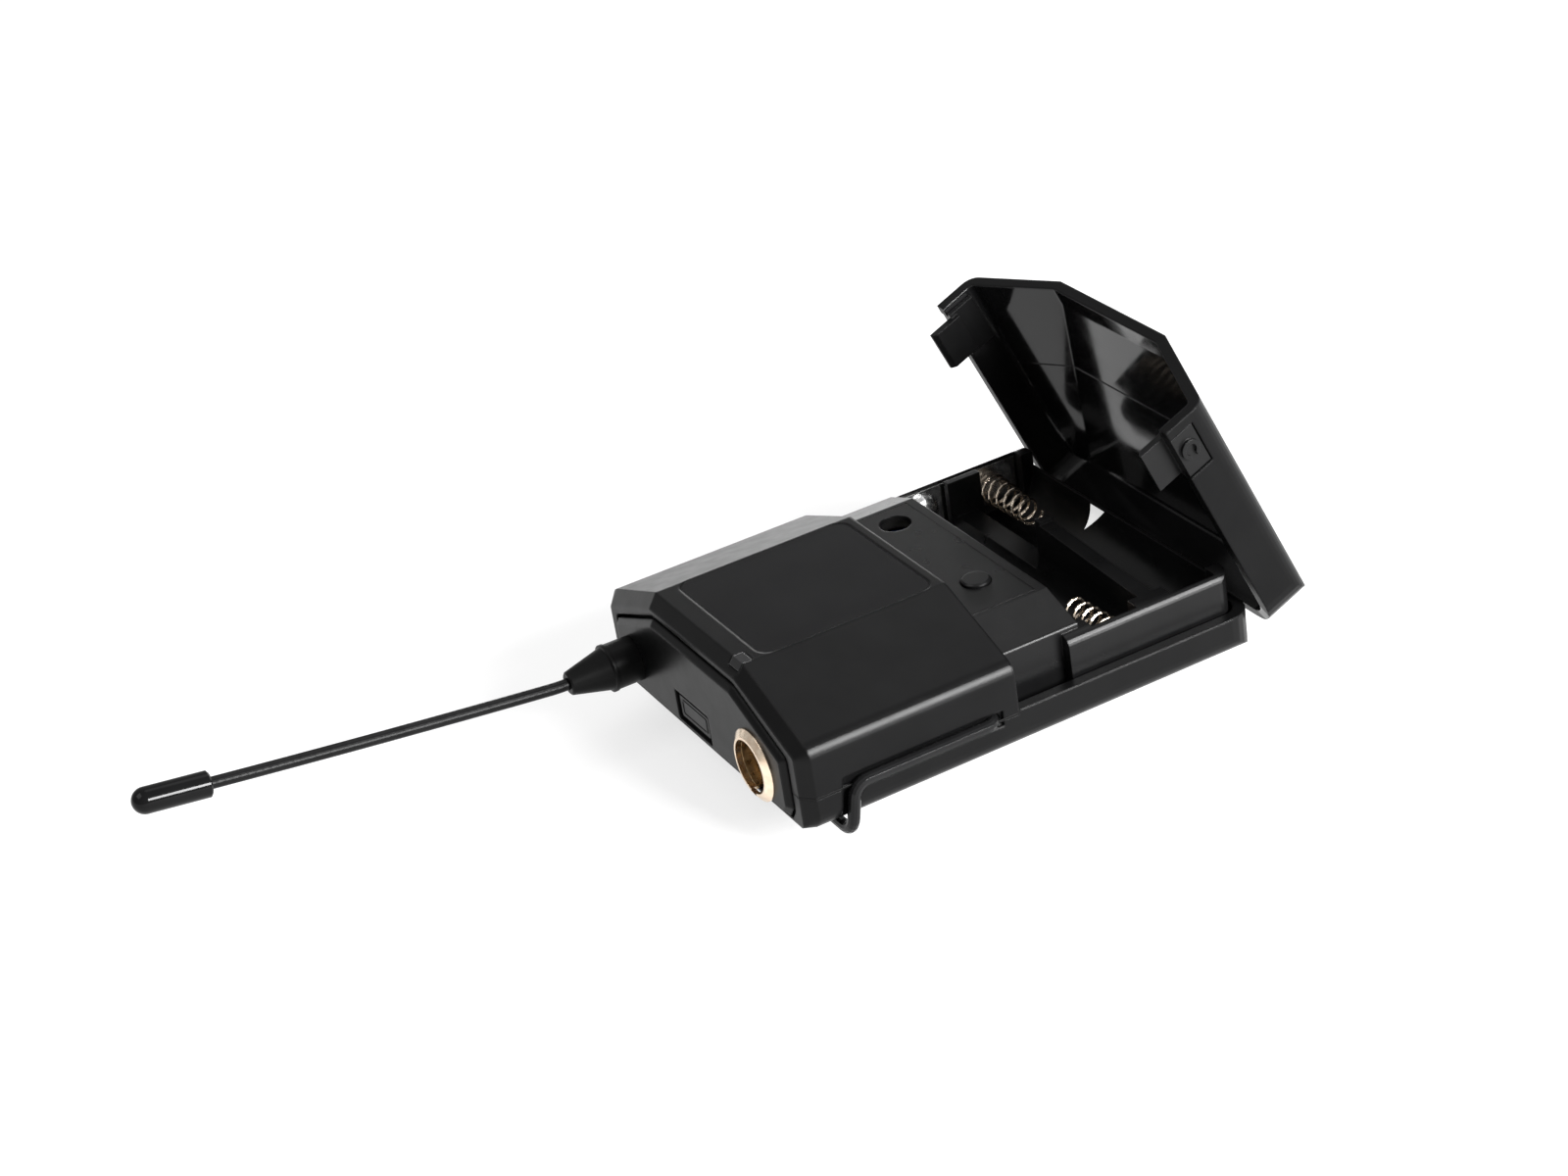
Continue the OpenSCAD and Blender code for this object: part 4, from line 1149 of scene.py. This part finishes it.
@dataclass
class Studio:
    """Plain pale floor, soft lamps, an evenly lit room and the camera."""

    floor_z: float
    floor_half: float = 6.0
    floor_grey: float = 0.34
    floor_glow: float = 0.68
    room_light: float = 0.5
    target: Point = (-65.955 * MM, 8.167 * MM, -19.47 * MM)
    azimuth: float = 65.679
    elevation: float = 28.609
    roll: float = -9.41
    distance: float = 516.44 * MM
    lens_mm: float = 70.74
    sensor_mm: float = 36.0
    boxes: tuple[Softbox, ...] = (
        Softbox("key_box", (-0.05, -0.60, 0.75), size=(0.60, 0.50), power=2.6),
        Softbox("rim_box", (0.58, 0.25, 0.30), size=(0.40, 0.20), power=20.0),
        Softbox("top_box", (-0.20, 0.26, 0.65), size=(0.36, 0.36), power=0.45),
        Softbox("side_box", (-0.76, 0.46, 0.08), size=(0.50, 0.14), power=1.1),
    )

    def floor(self) -> None:
        """Lays the floor, white to the eye and pale to everything else."""
        mesh = bpy.data.meshes.new("floor")
        maker = bmesh.new()
        bmesh.ops.create_grid(maker, x_segments=1, y_segments=1, size=self.floor_half)
        maker.to_mesh(mesh)
        maker.free()
        floor = bpy.data.objects.new("floor", mesh)
        floor.location.z = self.floor_z
        bpy.context.scene.collection.objects.link(floor)
        tree = NodeTree("floor_paper")
        rays = tree.add("ShaderNodeLightPath")
        seen = rays.outputs["Is Camera Ray"]
        for kind in ("Is Transmission Ray", "Is Glossy Ray"):
            either = tree.add("ShaderNodeMath", operation="MAXIMUM")
            tree.join(seen, either.inputs[0])
            tree.join(rays.outputs[kind], either.inputs[1])
            seen = either.outputs["Value"]
        tree.put(
            Base_Color=(self.floor_grey, self.floor_grey, self.floor_grey, 1.0),
            Roughness=0.9,
            Specular_IOR_Level=0.1,
            Emission_Color=(1.0, 1.0, 1.0, 1.0),
            Emission_Strength=tree.span(seen, 0.0, self.floor_glow, 0.0, 1.0),
        )
        mesh.materials.append(tree.material)
        floor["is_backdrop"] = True

    def world(self) -> None:
        """Lights the room evenly and shows white to the eye."""
        world = bpy.data.worlds.new("studio")
        world.use_nodes = True
        bpy.context.scene.world = world
        nodes, links = world.node_tree.nodes, world.node_tree.links
        room = nodes["Background"]
        room.inputs["Color"].default_value = (1.0, 1.0, 1.0, 1.0)
        room.inputs["Strength"].default_value = self.room_light
        white = nodes.new("ShaderNodeBackground")
        white.inputs["Strength"].default_value = 1.0
        path = nodes.new("ShaderNodeLightPath")
        mix = nodes.new("ShaderNodeMixShader")
        links.new(path.outputs["Is Camera Ray"], mix.inputs["Fac"])
        links.new(room.outputs["Background"], mix.inputs[1])
        links.new(white.outputs["Background"], mix.inputs[2])
        links.new(mix.outputs["Shader"], nodes["World Output"].inputs["Surface"])

    def camera(self) -> None:
        """Aims the camera at the target from its azimuth, elevation and distance."""
        a, e, r = (math.radians(v) for v in (self.azimuth, self.elevation, self.roll))
        back = Vector((math.sin(a) * math.cos(e), -math.cos(a) * math.cos(e), math.sin(e)))
        right = Vector((math.cos(a), math.sin(a), 0.0))
        up = back.cross(right)
        across = right * math.cos(r) + up * math.sin(r)
        upward = up * math.cos(r) - right * math.sin(r)
        data = bpy.data.cameras.new("camera")
        data.lens = self.lens_mm
        data.sensor_width = self.sensor_mm
        data.clip_start = 0.01
        camera = bpy.data.objects.new("camera", data)
        bpy.context.scene.collection.objects.link(camera)
        turn = Matrix((across, upward, back)).transposed().to_4x4()
        camera.matrix_world = Matrix.Translation(Vector(self.target) + back * self.distance) @ turn
        bpy.context.scene.camera = camera

    def build(self) -> None:
        """Builds the whole studio."""
        self.floor()
        self.world()
        for box in self.boxes:
            box.make()
        self.camera()
        bpy.context.scene.view_settings.view_transform = "Standard"


def main() -> None:
    """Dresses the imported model, adds its details and sets up the studio."""
    logging.basicConfig(level=logging.INFO, format="%(message)s")
    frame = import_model()
    cad_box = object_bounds()
    wardrobe = Wardrobe(frame)
    for group in (CaseShells, EndPanel, MicSocket, Antenna, ControlDeck, CellBay, BatteryDoor,
                  BeltClip, BoardStack):
        group(wardrobe).build()
    Studio(floor_z=cad_box[0][2]).build()


if __name__ == "__main__":
    main()
